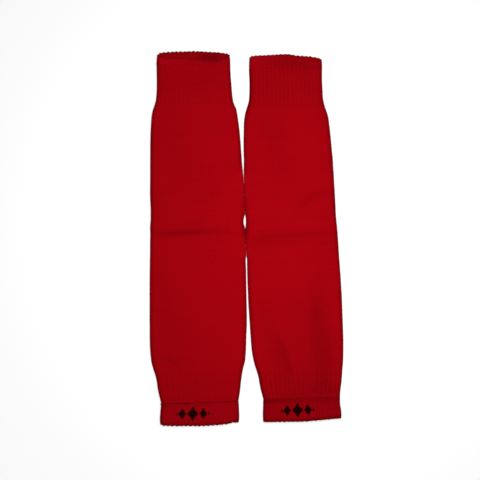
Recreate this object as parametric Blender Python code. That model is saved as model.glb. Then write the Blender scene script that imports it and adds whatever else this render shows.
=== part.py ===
"""A pair of footless knee socks, knitted as tubes and laid flat side by side.

Sizes are in millimetres and the built objects in metres. Each sock is modelled in its own frame:
across runs to its right edge, along runs from the mouth down to the ankle, and up is away from
the surface. An empty at the middle of the mouth then places and turns the sock.
"""

import math
from bisect import bisect_right
from collections import namedtuple

import bmesh
import bpy

MM = 0.001
COLLECTION_NAME = "knee_socks"

# Knitted cloth
SLIT = 0.6                  # air between the front and the back panel at the side folds
GROOVE_DEPTH = 0.75         # how far the narrow purl grooves of the rib lie below its ridges
SEAM_GAP = 0.3              # between a welt and the tube that it is linked to
SEAM_ROUND = 1.2            # length over which a linked edge rolls under
SEAM_SINK = 0.35            # how deep the linked edge has rolled at the seam
RIM_ROUND = 1.7             # length over which a turned edge rolls in
RIM_SINK = 0.85             # how far the turned edge has rolled in at its very end
RIM_KNEE_SHARE = 0.25       # where the turned edge bends most, as a share of its round length
RIM_KNEE_SINK_SHARE = 0.3   # and how far it has rolled in there, as a share of its whole sink

# Rings of points around a tube: the arc over the front and both folds, then the underside
RIBS_SHOWN = 20             # of 36 ribs around, those on the front and the folds
RIB_MARKS = (0.3, 0.5, 0.7)  # shoulder, bottom and shoulder of one groove, in shares of a rib
GROOVE_MARK = 0.5
FOLD_STEPS = 4
INNER_FOLD_STEPS = 2
FRONT_STEPS = 26
INNER_FRONT_STEPS = 12
UNDER_STEPS = 7
INNER_UNDER_STEPS = 6
PANEL_POWER = 2.6           # how full the lofted front panel is towards its folds
FOLD_POWER = 6.0            # how late a crease fades out towards the folds
CREASE_STEPS = 12
CREASE_TIP = 0.04           # the share of a crease at each end where it stops getting shallower

# Cloth colours, linear
LEG_RED = (0.330, 0.0012, 0.0036, 1.0)
WELT_RED = (0.255, 0.0011, 0.0032, 1.0)
CLOTH_ROUGHNESS = 0.9
SHARP_ANGLE = math.radians(50.0)

Section = namedtuple("Section", "along left right height loft groove rings")
Edge = namedtuple("Edge", "side back_rim front_rim top_seam ankle_seam hem")
Crease = namedtuple(
    "Crease", "from_across from_along by_across by_along to_across to_along depth half_width"
)
Sock = namedtuple("Sock", "name across up tilt top_welt leg ankle_welt edges creases")
Row = namedtuple("Row", "station shift inset")

# Sections, from the mouth to the ankle. The columns: distance along the sock, half widths to its
# left and right edge, height of the side folds, rise of the front panel's middle above them, share
# of the full groove depth, and the number of rings up to the next section.
LEFT_TOP_WELT = (
    Section(-5.0, 38.9, 39.1, 5.8, 2.2, 0.5, 1),
    Section(0.0, 39.2, 39.4, 6.0, 1.5, 0.6, 1),
    Section(5.8, 39.3, 39.5, 5.6, 0.8, 0.8, 1),
)
LEFT_LEG = (
    Section(5.8, 39.2, 39.4, 4.7, 0.7, 1.0, 1),
    Section(20.0, 39.3, 39.7, 4.8, 0.8, 1.0, 1),
    Section(35.0, 39.9, 40.5, 4.8, 0.9, 1.0, 1),
    Section(43.0, 40.9, 41.3, 4.7, 1.0, 1.0, 1),
    Section(48.0, 42.3, 42.7, 4.5, 1.1, 0.8, 1),
    Section(52.0, 43.9, 44.5, 4.3, 1.2, 0.3, 1),
    Section(60.0, 45.6, 45.9, 4.0, 1.3, 0.0, 2),
    Section(81.0, 47.2, 48.1, 3.8, 1.5, 0.0, 2),
    Section(116.0, 48.1, 50.0, 3.8, 1.8, 0.0, 2),
    Section(150.0, 48.6, 51.7, 3.8, 2.0, 0.0, 3),
    Section(178.0, 49.3, 52.0, 3.8, 1.9, 0.0, 3),
    Section(189.0, 49.6, 52.1, 3.8, 1.9, 0.0, 1),
    Section(201.0, 49.9, 52.1, 3.8, 2.0, 0.0, 2),
    Section(252.0, 51.3, 51.8, 3.8, 1.9, 0.0, 2),
    Section(303.0, 52.0, 50.4, 3.9, 1.7, 0.0, 1),
    Section(313.0, 51.5, 49.8, 4.0, 1.6, 0.0, 1),
    Section(321.0, 50.8, 48.9, 4.1, 1.5, 0.0, 1),
    Section(330.0, 49.0, 46.8, 4.4, 1.3, 0.3, 1),
    Section(337.0, 46.7, 45.3, 4.7, 1.1, 1.0, 1),
    Section(345.0, 45.1, 44.0, 4.8, 0.9, 1.0, 1),
    Section(356.0, 43.8, 42.7, 4.8, 0.7, 1.0, 1),
    Section(366.0, 41.6, 41.1, 4.6, 0.5, 1.0, 1),
)
LEFT_ANKLE_WELT = (
    Section(366.0, 41.6, 41.2, 5.4, 0.5, 0.4, 1),
    Section(376.0, 42.2, 41.5, 5.8, 0.8, 0.3, 1),
    Section(384.0, 42.7, 41.6, 5.8, 0.8, 0.3, 1),
    Section(390.4, 42.6, 41.0, 5.6, 0.6, 0.3, 1),
)
RIGHT_TOP_WELT = (
    Section(-5.0, 38.5, 38.5, 5.8, 1.9, 0.5, 1),
    Section(0.0, 38.7, 38.6, 6.0, 1.6, 0.6, 1),
    Section(6.5, 38.8, 38.5, 5.6, 0.8, 0.8, 1),
)
RIGHT_LEG = (
    Section(6.5, 38.8, 38.5, 4.7, 0.7, 1.0, 1),
    Section(20.0, 39.0, 38.0, 4.8, 0.8, 1.0, 1),
    Section(33.0, 39.7, 38.0, 4.8, 0.9, 1.0, 1),
    Section(41.0, 40.7, 38.4, 4.7, 1.0, 1.0, 1),
    Section(46.0, 42.3, 39.3, 4.5, 1.1, 0.8, 1),
    Section(50.0, 43.9, 40.5, 4.3, 1.2, 0.3, 1),
    Section(58.0, 46.0, 42.5, 4.0, 1.3, 0.0, 2),
    Section(79.0, 48.2, 44.2, 3.8, 1.5, 0.0, 2),
    Section(113.0, 49.6, 45.4, 3.8, 1.8, 0.0, 2),
    Section(147.0, 50.6, 45.8, 3.8, 2.0, 0.0, 3),
    Section(177.0, 51.1, 46.5, 3.8, 1.9, 0.0, 3),
    Section(190.0, 51.3, 46.8, 3.8, 1.9, 0.0, 1),
    Section(201.0, 51.3, 47.0, 3.8, 2.0, 0.0, 2),
    Section(250.0, 51.8, 47.8, 3.8, 1.9, 0.0, 2),
    Section(297.0, 51.0, 47.3, 3.9, 1.7, 0.0, 1),
    Section(310.0, 50.3, 46.7, 4.0, 1.6, 0.0, 1),
    Section(319.0, 49.0, 46.0, 4.1, 1.5, 0.0, 1),
    Section(328.0, 46.9, 44.7, 4.4, 1.3, 0.3, 1),
    Section(335.0, 45.0, 43.8, 4.7, 1.1, 1.0, 1),
    Section(343.0, 43.9, 42.8, 4.8, 0.9, 1.0, 1),
    Section(353.0, 42.5, 41.1, 4.8, 0.7, 1.0, 1),
    Section(359.8, 40.9, 40.4, 4.6, 0.5, 1.0, 1),
)
RIGHT_ANKLE_WELT = (
    Section(359.8, 40.9, 40.5, 5.4, 0.5, 0.8, 1),
    Section(370.0, 41.6, 41.2, 5.8, 0.8, 0.8, 1),
    Section(377.0, 42.1, 41.8, 5.8, 0.8, 0.8, 1),
    Section(383.8, 42.2, 41.4, 5.6, 0.6, 0.8, 1),
)

# Where the rims, seams and hem lie along the sock, from its left fold (-1) to its right fold (+1)
LEFT_EDGES = (
    Edge(-1.0, -6.8, -4.6, 4.9, 366.4, 389.4),
    Edge(-0.67, -9.1, -2.6, 5.0, 366.3, 390.2),
    Edge(-0.33, -9.6, -2.4, 5.3, 366.2, 390.4),
    Edge(0.0, -9.6, -1.3, 5.8, 366.0, 390.7),
    Edge(0.33, -9.0, 0.4, 6.2, 365.7, 390.3),
    Edge(0.67, -7.8, 1.2, 6.5, 365.4, 389.3),
    Edge(1.0, -4.9, -2.8, 6.6, 365.1, 387.6),
)
RIGHT_EDGES = (
    Edge(-1.0, -6.2, -5.4, 5.2, 359.2, 382.7),
    Edge(-0.67, -8.5, -6.8, 5.3, 359.3, 383.3),
    Edge(-0.33, -8.6, -7.0, 5.5, 359.4, 383.7),
    Edge(0.0, -8.6, -6.2, 6.0, 359.6, 384.2),
    Edge(0.33, -6.5, -3.6, 7.4, 359.9, 383.8),
    Edge(0.67, -4.8, 0.6, 9.3, 360.3, 383.2),
    Edge(1.0, -1.2, 1.4, 10.6, 360.6, 382.6),
)

# The creases that the cloth has kept from being folded, each a curve through three places
LEFT_CREASES = (
    Crease(-46.0, 183.5, -8.0, 184.6, 42.0, 183.4, 1.0, 4.0),
    Crease(-20.0, 173.6, 0.0, 172.4, 24.0, 172.6, 0.4, 3.5),
    Crease(-40.0, 316.0, -30.0, 321.0, -18.0, 327.0, 0.35, 5.0),
)
RIGHT_CREASES = (
    Crease(-47.0, 191.6, -20.0, 184.4, 41.0, 184.2, 0.8, 4.5),
    Crease(10.0, 157.0, 17.0, 146.0, 34.0, 140.0, 0.4, 5.0),
    Crease(25.0, 254.0, 21.5, 292.0, 16.0, 331.0, 0.8, 8.0),
    Crease(-24.0, 273.0, -15.0, 303.0, -8.0, 331.0, 0.7, 6.0),
)

SOCKS = (
    Sock("left", -56.8, 190.6, 1.08,
         LEFT_TOP_WELT, LEFT_LEG, LEFT_ANKLE_WELT, LEFT_EDGES, LEFT_CREASES),
    Sock("right", 41.8, 188.5, 2.76,
         RIGHT_TOP_WELT, RIGHT_LEG, RIGHT_ANKLE_WELT, RIGHT_EDGES, RIGHT_CREASES),
)


def read(table, key, column, at):
    """One column of a table at any place, on a curve that never overshoots the table's rows."""
    places = [getattr(row, key) for row in table]
    values = [getattr(row, column) for row in table]
    at = min(max(at, places[0]), places[-1])
    here = min(bisect_right(places, at) - 1, len(places) - 2)
    gaps = [b - a for a, b in zip(places, places[1:])]
    slopes = [(b - a) / gap for a, b, gap in zip(values, values[1:], gaps)]

    def slope_at(row):
        if row == 0:
            return slopes[0]
        if row == len(slopes):
            return slopes[-1]
        before, after = slopes[row - 1], slopes[row]
        if before * after <= 0.0:
            return 0.0
        return 2.0 * before * after / (before + after)

    gap = gaps[here]
    t = (at - places[here]) / gap
    rise = values[here + 1] - values[here]
    start, end = slope_at(here) * gap, slope_at(here + 1) * gap
    bend = start + end - 2.0 * rise
    return values[here] + t * (start + t * (3.0 * rise - 2.0 * start - end + t * bend))


def crease_depth(creases, across, along):
    """How far the creases lower the front panel at one place."""
    depth = 0.0
    for crease in creases:
        nearest, share = None, 0.0
        for step in range(CREASE_STEPS + 1):
            t = step / CREASE_STEPS
            start, middle, end = (1 - t) ** 2, 2 * t * (1 - t), t * t
            x = start * crease.from_across + middle * crease.by_across + end * crease.to_across
            y = start * crease.from_along + middle * crease.by_along + end * crease.to_along
            distance = math.hypot(x - across, y - along)
            if nearest is None or distance < nearest:
                nearest, share = distance, t
        ends = math.sqrt(math.sin(math.pi * min(max(share, CREASE_TIP), 1.0 - CREASE_TIP)))
        depth += crease.depth * ends * math.exp(-((nearest / crease.half_width) ** 2))
    return depth


class Tube:
    """One knitted tube between two lines that run around the sock, such as a rim and a seam."""

    def __init__(self, sock, sections, upper, lower):
        self.sock = sock
        self.sections = sections
        self.upper = upper
        self.lower = lower

    def value(self, column, station):
        return read(self.sections, "along", column, station)

    def line(self, name, side, front):
        """Where a rim, seam or hem lies. The rim's front lies lower than its back."""
        edges = self.sock.edges
        if name != "rim":
            return read(edges, "side", name, side)
        back_rim = read(edges, "side", "back_rim", side)
        return back_rim + front * (read(edges, "side", "front_rim", side) - back_rim)

    def point(self, row, turn, inset):
        """A point of the wall: turn is 0 to 1 over the front and 1 to 2 along the underside."""
        station = row.station
        left, right = self.value("left", station), self.value("right", station)
        height, loft = self.value("height", station), self.value("loft", station)
        radius = height / 2.0
        fold = math.pi * radius
        flat = left + right - height
        distance = turn * (flat + 2.0 * fold)
        if turn > 1.0:
            across, up, front = radius - left + (turn - 1.0) * flat, inset, 0.0
        elif distance < fold:
            angle = distance / radius
            across = right - radius + (radius - inset) * math.sin(angle)
            up = radius - (radius - inset) * math.cos(angle)
            front = angle / math.pi
        elif distance <= fold + flat:
            across = right - radius - (distance - fold)
            middle = 2.0 * (across - (right - left) / 2.0) / flat
            up = height - inset + loft * (1.0 - abs(middle) ** PANEL_POWER)
            fade = 1.0 - abs(middle) ** FOLD_POWER
            up -= fade * crease_depth(self.sock.creases, across, station)
            front = 1.0
        else:
            angle = (distance - fold - flat) / radius
            across = radius - left - (radius - inset) * math.sin(angle)
            up = radius + (radius - inset) * math.cos(angle)
            front = 1.0 - angle / math.pi
        side = (2.0 * across - right + left) / (right + left)
        first, last = self.sections[0].along, self.sections[-1].along
        share = (station - first) / (last - first)
        upper = self.line(self.upper, side, front)
        lower = self.line(self.lower, side, front)
        along = upper + share * (lower - upper) + row.shift
        return (across * MM, -along * MM, up * MM)

    def turns(self, station, fold_steps, front_steps, under_steps):
        """Places around the tube for a plain ring."""
        height = self.value("height", station)
        fold = math.pi * height / 2.0
        flat = self.value("left", station) + self.value("right", station) - height
        whole = flat + 2.0 * fold
        right_fold = [step * fold / fold_steps / whole for step in range(fold_steps + 1)]
        front = [(fold + step * flat / front_steps) / whole for step in range(1, front_steps)]
        left_fold = [1.0 - turn for turn in reversed(right_fold)]
        under = [1.0 + step / under_steps for step in range(1, under_steps)]
        return right_fold + front + left_fold + under

    def outer_ring(self, row):
        """Turns and points of the outer face, with its grooves where the section has a rib."""
        groove = self.value("groove", row.station) * GROOVE_DEPTH
        if groove <= 0.0:
            turns = self.turns(row.station, FOLD_STEPS, FRONT_STEPS, UNDER_STEPS)
            return turns, [self.point(row, turn, row.inset) for turn in turns]
        turns, depths = [0.0], [0.0]
        for rib in range(RIBS_SHOWN):
            for mark in RIB_MARKS:
                turns.append((rib + mark) / RIBS_SHOWN)
                depths.append(groove if mark == GROOVE_MARK else 0.0)
        for step in range(UNDER_STEPS):
            turns.append(1.0 + step / UNDER_STEPS)
            depths.append(0.0)
        points = [self.point(row, turn, row.inset + depth) for turn, depth in zip(turns, depths)]
        return turns, points

    def inner_ring(self, row):
        """Turns and points of the plain inner face, one wall inside the outer one."""
        wall = (self.value("height", row.station) - SLIT) / 2.0
        turns = self.turns(row.station, INNER_FOLD_STEPS, INNER_FRONT_STEPS, INNER_UNDER_STEPS)
        return turns, [self.point(row, turn, wall - row.inset) for turn in turns]


def join_rings(mesh, first, second):
    """Triangles between two rings that may have unlike numbers of points."""
    (turns_a, ring_a), (turns_b, ring_b) = first, second
    a = b = 0
    same = len(ring_a) == len(ring_b)
    while a < len(ring_a) or b < len(ring_b):
        next_a = turns_a[a + 1] if a + 1 < len(ring_a) else 2.0
        next_b = turns_b[b + 1] if b + 1 < len(ring_b) else 2.0
        step_a = a < len(ring_a) and (b == len(ring_b) or (a <= b if same else next_a <= next_b))
        corner_a, corner_b = ring_a[a % len(ring_a)], ring_b[b % len(ring_b)]
        if step_a:
            a += 1
            mesh.faces.new((corner_a, ring_a[a % len(ring_a)], corner_b))
        else:
            b += 1
            mesh.faces.new((corner_a, ring_b[b % len(ring_b)], corner_b))


def build_wall(name, outer_rings, inner_rings, color, holder, collection):
    """One closed wall of cloth: down its outer face, over its end, and back up its inner face."""
    mesh = bmesh.new()
    rings = []
    for turns, points in outer_rings + list(reversed(inner_rings)):
        rings.append((turns, [mesh.verts.new(point) for point in points]))
    for first, second in zip(rings, rings[1:] + rings[:1]):
        join_rings(mesh, first, second)
    bmesh.ops.recalc_face_normals(mesh, faces=mesh.faces)
    data = bpy.data.meshes.new(name)
    mesh.to_mesh(data)
    mesh.free()
    data.shade_smooth()
    data.set_sharp_from_angle(angle=SHARP_ANGLE)
    data.materials.append(cloth_material(name, color))
    piece = bpy.data.objects.new(name, data)
    piece.parent = holder
    collection.objects.link(piece)
    return piece


def cloth_material(name, color):
    """Matt knitted cloth in one colour."""
    material = bpy.data.materials.new(name + "_knit")
    material.use_nodes = True
    shader = material.node_tree.nodes["Principled BSDF"]
    shader.inputs["Base Color"].default_value = color
    shader.inputs["Roughness"].default_value = CLOTH_ROUGHNESS
    shader.inputs["Metallic"].default_value = 0.0
    return material


def stations_of(sections):
    """The stations of a piece's rings, with those between two sections evenly spaced."""
    stations = []
    for section, following in zip(sections, sections[1:]):
        step = (following.along - section.along) / section.rings
        stations += [section.along + ring * step for ring in range(section.rings)]
    return stations + [sections[-1].along]


def linked_end(station, inward):
    """Rows of an edge that is linked to the next piece and rolls slightly under."""
    gap = inward * SEAM_GAP / 2.0
    return [Row(station, gap, SEAM_SINK), Row(station, gap + inward * SEAM_ROUND, 0.0)]


def turned_end(station, inward):
    """Rows of a welt's turned edge, which rolls in over its last stretch."""
    knee = inward * RIM_ROUND * RIM_KNEE_SHARE
    return [
        Row(station, 0.0, RIM_SINK),
        Row(station, knee, RIM_SINK * RIM_KNEE_SINK_SHARE),
        Row(station, inward * RIM_ROUND, 0.0),
    ]


def build_leg(sock, holder, collection):
    """The rib cuff, the plain leg and the ankle rib, which are knitted as one tube."""
    tube = Tube(sock, sock.leg, "top_seam", "ankle_seam")
    stations = stations_of(sock.leg)
    body = [Row(station, 0.0, 0.0) for station in stations[1:-1]]
    start = linked_end(stations[0], 1.0)
    end = list(reversed(linked_end(stations[-1], -1.0)))
    outer = start + body + end
    inner = [Row(start[0].station, start[0].shift, 0.0)] + body[::2]
    inner.append(Row(end[-1].station, end[-1].shift, 0.0))
    build_wall(sock.name + "_leg", [tube.outer_ring(row) for row in outer],
               [tube.inner_ring(row) for row in inner], LEG_RED, holder, collection)


def build_top_welt(sock, holder, collection):
    """The doubled band at the mouth, turned at its rim and linked to the rib cuff."""
    tube = Tube(sock, sock.top_welt, "rim", "top_seam")
    stations = stations_of(sock.top_welt)
    body = [Row(station, 0.0, 0.0) for station in stations[1:-1]]
    outer = turned_end(stations[0], 1.0) + body + list(reversed(linked_end(stations[-1], -1.0)))
    inner = [outer[0], outer[2]] + body + [Row(outer[-1].station, outer[-1].shift, 0.0)]
    build_wall(sock.name + "_top_welt", [tube.outer_ring(row) for row in outer],
               [tube.inner_ring(row) for row in inner], WELT_RED, holder, collection)


def build_ankle_welt(sock, holder, collection):
    """The doubled band at the ankle, linked to the ankle rib and turned at its hem."""
    tube = Tube(sock, sock.ankle_welt, "ankle_seam", "hem")
    stations = stations_of(sock.ankle_welt)
    body = [Row(station, 0.0, 0.0) for station in stations[1:-1]]
    outer = linked_end(stations[0], 1.0) + body + list(reversed(turned_end(stations[-1], -1.0)))
    inner = [Row(outer[0].station, outer[0].shift, 0.0)] + body + [outer[-3], outer[-1]]
    build_wall(sock.name + "_ankle_welt", [tube.outer_ring(row) for row in outer],
               [tube.inner_ring(row) for row in inner], WELT_RED, holder, collection)


def build():
    for scene_object in list(bpy.data.objects):
        bpy.data.objects.remove(scene_object)
    collection = bpy.data.collections.new(COLLECTION_NAME)
    bpy.context.scene.collection.children.link(collection)
    for sock in SOCKS:
        holder = bpy.data.objects.new(sock.name + "_place", None)
        holder.location = (sock.across * MM, sock.up * MM, 0.0)
        holder.rotation_euler = (0.0, 0.0, math.radians(sock.tilt))
        collection.objects.link(holder)
        build_top_welt(sock, holder, collection)
        build_leg(sock, holder, collection)
        build_ankle_welt(sock, holder, collection)


build()
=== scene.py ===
"""Two footless knee socks of red sports knit, laid flat side by side, built as Blender pieces.

Sizes in the tables are millimetres along and across each sock; everything that is built is in
metres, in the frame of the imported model. Each knitted stretch is a closed wall of cloth: a fine
outer face with its ribs and creases, a plain inner face, and rolled edges between them.
"""

import math
from collections import namedtuple

import bpy
import numpy as np
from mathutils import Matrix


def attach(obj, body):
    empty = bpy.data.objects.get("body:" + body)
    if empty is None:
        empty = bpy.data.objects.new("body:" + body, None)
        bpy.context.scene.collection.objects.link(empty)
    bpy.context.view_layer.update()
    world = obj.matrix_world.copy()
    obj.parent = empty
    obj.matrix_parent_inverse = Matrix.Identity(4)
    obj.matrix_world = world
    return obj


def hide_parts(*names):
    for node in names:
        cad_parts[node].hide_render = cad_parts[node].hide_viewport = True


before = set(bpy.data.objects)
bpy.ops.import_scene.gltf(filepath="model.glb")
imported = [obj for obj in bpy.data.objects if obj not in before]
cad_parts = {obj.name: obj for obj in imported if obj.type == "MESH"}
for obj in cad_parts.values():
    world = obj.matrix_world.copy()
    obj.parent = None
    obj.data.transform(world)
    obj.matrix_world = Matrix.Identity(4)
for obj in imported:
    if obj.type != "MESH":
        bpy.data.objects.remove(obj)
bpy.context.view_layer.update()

bl_info = {
    "name": "Knee Socks",
    "version": (1, 0, 0),
    "blender": (4, 5, 0),
    "location": "3D View > Sidebar > Socks",
    "description": "Builds a pair of footless rib cuffed knee socks, laid flat",
    "category": "Add Mesh",
}

MM = 0.001
BODY = "root"
FAR = 10.0                  # metres, further than anything here reaches

# The photograph's frame, which the camera repeats
PHOTO_SIDE = 480.0
PHOTO_MIDDLE = (246.45, 238.6)      # the pixel over the middle of the pair
PAIR_LENGTH = 400.0
PAIR_LENGTH_PIXELS = 374.3
SCALE_HEIGHT = 4.0          # above the table, where the view has the photograph's scale

# The table, and each lamp as its place, its aim and its side, in metres
TABLE_SIDE = 200.0
TABLE_DROP = 0.05 * MM      # below the cloth
TABLE_ROUGHNESS = 0.9
OVERHEAD_LAMP = ((0.06, 0.04, 0.45), (0.06, 0.04, 0.0), 0.25)
FRONT_LAMP = ((-0.15, -0.85, 1.2), (0.0, 0.0, 0.0), 0.5)
WHITE = (1.0, 1.0, 1.0, 1.0)

# The tube of cloth
SLIT = 0.6                  # air between the two panels at the side folds
RIB_WALES = 4               # three knit wales and one purl wale
FRONT_WALES = 80            # wales over the front panel and both folds
UNDER_WALES = 64            # wales over the underside
WALES_AROUND = FRONT_WALES + UNDER_WALES
PANEL_POWER = 2.6           # how full the front panel is towards its folds
FOLD_POWER = 6.0            # how late a crease fades out towards the folds
STROKE_SAMPLES = 33         # places along a stroke that its distance is taken from
STROKE_TIP = 0.04           # the share at each end of a stroke where it stops fading
FLAT_STATIONS = 40          # places along a tube that its mean way round is taken from

# The mesh of a stretch of cloth
COLUMNS_PER_WALE = 3
INNER_COLUMNS_PER_RIB = 3
ROW_STEP = 1.9
INNER_ROW_STEP = 5.0
ROLL_ROWS = 9               # along the roll of an edge
LIP = 0.35                  # from an outer edge to the edge of its lining
NAP = 0.3                   # how far the fibres stand proud of the solid
SCALLOP = 0.7               # how far the purl wales draw a turned edge in
SCALLOP_SHARES = (0.45, 1.3)        # the least and the most that one of them does

# How each edge rolls in: over which length, by which share of the wall, how suddenly, its scallop
Roll = namedtuple("Roll", "length share power scallop")
RIM = Roll(10.0, 0.95, 1.0, SCALLOP)
HEM = Roll(2.4, 0.6, 1.7, SCALLOP)
TOP_SEAM = Roll(0.3, 0.05, 2.0, 0.0)
ANKLE_SEAM = Roll(0.6, 0.22, 2.0, 0.0)
BACK_ROLL = 0.25            # how much of that roll the folds and the back panel have
SEAM_CLEARANCE = 0.03       # between each edge and the line of its seam
LINKING_LIFT = 0.45         # of the linking yarn above the solid at the ankle seam
LINKING_SHIFT = 0.7         # from the line of the seam to the middle of the linking yarn
HEM_PAINTED_SHADE = 0.34             # painted shade along a hem, as a share of the light
PAINTED_BAND_FROM = 1.6             # from a fold or a hem to the middle of its band of painted shade
PAINTED_BAND_REACH = 1.8            # how far from its middle the band fades out
LOOP_SINK = 0.15            # how deep the loops of a turned edge start in it

# The relief of the knit
RIB_DEPTH = 0.65 * MM
GROOVE_WIDTH = 2.8          # wales
GROOVE_BOTTOM = 0.15        # half width of a groove's flat bottom, in wales
WALE_RELIEF = 0.07 * MM
UNEVENNESS = 0.3 * MM
WEAR_LOW, WEAR_HIGH = 0.3, 0.7              # the noise where a rib is most and least worn
WORN_SHARE, FRESH_SHARE = 0.75, 1.1         # the share of its depth that it then has
LEG_RELIEF = 0.7            # how much a stitch's leg stands out of the valleys beside it
COLUMN_POWER = 0.6          # how plump a wale's two columns of legs are
STITCH_SLANT = 1.7          # rise of a stitch's legs, in courses to a wale
FIBRE_RELIEF = 0.5          # of the nap, as a share of a stitch's
KNIT_BUMP = 0.7             # how strongly the light shows that relief
YARN_BUMP = 0.5             # the same on the loose yarns
YARN_RELIEF = 0.1 * MM

# The loose yarns. The pairs give the least and the most of a share.
LINKING_THICKNESS = 1.4 * MM
LINKING_SPACING = 1.5 * MM
LINKING_LENGTHS = (1.5, 2.8)
LINKING_GIRTHS = (0.7, 1.2)
LEAST_RUN = 0.05            # the strength below which no linking stitch shows
LOOP_RADIUS = 0.42 * MM
YARN_RADIUS = 0.22 * MM
LOOP_SIZES = (0.8, 1.15)

# Scales of the patterns, in grains to a metre: 1000 has grains of one millimetre
FIBRE_SCALE = 2600.0        # fibres of the nap, 0.4 mm
HEATHER_SCALE = 420.0       # uneven spinning, 2.4 mm
SLACK_SCALE = 38.0          # dips of the relaxed cloth, 26 mm
WEAR_SCALE = 30.0           # ribs pressed flat here and there, 33 mm
CLOUD_SCALE = 26.0          # uneven tension, 38 mm
NOISE_LOW, NOISE_HIGH = 0.25, 0.75          # between them lies most of a pattern

# The least and the most of the full colour that shows in each pattern
# Painted shade in the valleys between a stitch's legs, a little lighter on the legs themselves
STITCH_PAINTED_SHADE_TONES = (0.8, 1.04)
HEATHER_TONES = (0.97, 1.03)
CLOUD_TONES = (0.97, 1.03)
ROW_TONES = (0.98, 1.02)
FIBRE_TONES = (0.92, 1.08)
YARN_TONES = (0.75, 1.25)
GROOVE_PAINTED_SHADE = 0.07          # painted shade in a full purl groove between its ribs, as a share of the light

# Spun acrylic is matt, with a faint red nap
YARN_ROUGHNESS = 0.95
YARN_GLOSS = 0.03
NAP_SHEEN = 0.06
NAP_ROUGHNESS = 0.6
NAP_TINT = (1.0, 0.05, 0.08, 1.0)

# What keeps the noise of each piece apart from the others
LEG_SEED = 3.0
TOP_WELT_SEED = 5.0
ANKLE_WELT_SEED = 7.0
LINKING_SEED = 11

Section = namedtuple("Section", "along left right height loft groove")
Edge = namedtuple("Edge", "side back_rim front_rim top_seam ankle_seam hem")
Stroke = namedtuple(
    "Stroke",
    "from_across from_along by_across by_along to_across to_along amount first_width second_width",
)
Spread = namedtuple("Spread", "along by")
Dim = namedtuple("Dim", "along loss")
Run = namedtuple("Run", "from_across to_across strength")
Sock = namedtuple(
    "Sock",
    "name across up tilt top_welt leg ankle_welt edges creases shades lining_shades "
    "under_creases left_spread right_spread left_dim right_dim rib_share runs motif",
)
Row = namedtuple("Row", "station shift inset roll scallop", defaults=(0.0, 0.0, 0.0, 0.0))


def table(kind, *rows):
    """The rows of a table as named tuples of one kind."""
    return tuple(kind(*row) for row in rows)


# Sections, from the mouth to the ankle. The columns: distance along the sock, half widths to its
# left and right edge, height of the side folds, rise of the front panel's middle above them, and
# share of the full groove depth.
LEFT_TOP_WELT = table(
    Section,
    (-5.0, 38.9, 39.1, 5.8, -0.3, 0.5),
    (0.0, 39.2, 39.4, 6.0, 0.1, 0.6),
    (5.8, 39.3, 39.5, 5.6, 0.6, 0.8),
)
LEFT_LEG = table(
    Section,
    (5.8, 39.2, 39.4, 4.7, 0.7, 1.0),
    (20.0, 39.3, 39.7, 4.8, 0.8, 1.0),
    (35.0, 39.9, 40.5, 4.8, 0.9, 1.0),
    (43.0, 40.9, 41.3, 4.7, 1.0, 1.0),
    (48.0, 42.3, 42.7, 4.5, 1.1, 0.8),
    (52.0, 43.9, 44.5, 4.3, 1.2, 0.3),
    (60.0, 45.6, 45.9, 4.0, 1.3, 0.0),
    (81.0, 47.2, 48.1, 3.8, 1.5, 0.0),
    (116.0, 48.1, 50.0, 3.8, 1.8, 0.0),
    (150.0, 48.6, 51.7, 3.8, 2.0, 0.0),
    (178.0, 49.3, 52.0, 3.8, 1.9, 0.0),
    (189.0, 49.6, 52.1, 3.8, 1.9, 0.0),
    (201.0, 49.9, 52.1, 3.8, 2.0, 0.0),
    (252.0, 51.3, 51.8, 3.8, 1.9, 0.0),
    (303.0, 52.0, 50.4, 3.9, 1.7, 0.0),
    (313.0, 51.5, 49.8, 4.0, 1.6, 0.0),
    (321.0, 50.8, 48.9, 4.1, 1.5, 0.0),
    (330.0, 49.0, 46.8, 4.4, 1.3, 0.3),
    (337.0, 46.7, 45.3, 4.7, 1.1, 1.0),
    (345.0, 45.1, 44.0, 4.8, 0.9, 1.0),
    (356.0, 43.8, 42.7, 4.8, 0.7, 1.0),
    (366.0, 41.6, 41.1, 4.6, 0.5, 1.0),
)
LEFT_ANKLE_WELT = table(
    Section,
    (366.0, 41.6, 41.2, 5.4, 0.5, 0.4),
    (376.0, 42.2, 41.5, 5.8, 0.8, 0.3),
    (384.0, 42.7, 41.6, 5.8, 0.8, 0.3),
    (390.4, 42.6, 41.0, 5.6, 0.6, 0.3),
)
RIGHT_TOP_WELT = table(
    Section,
    (-5.0, 38.5, 38.5, 5.8, -0.3, 0.5),
    (0.0, 38.7, 38.6, 6.0, 0.1, 0.6),
    (6.5, 38.8, 38.5, 5.6, 0.6, 0.8),
)
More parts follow.
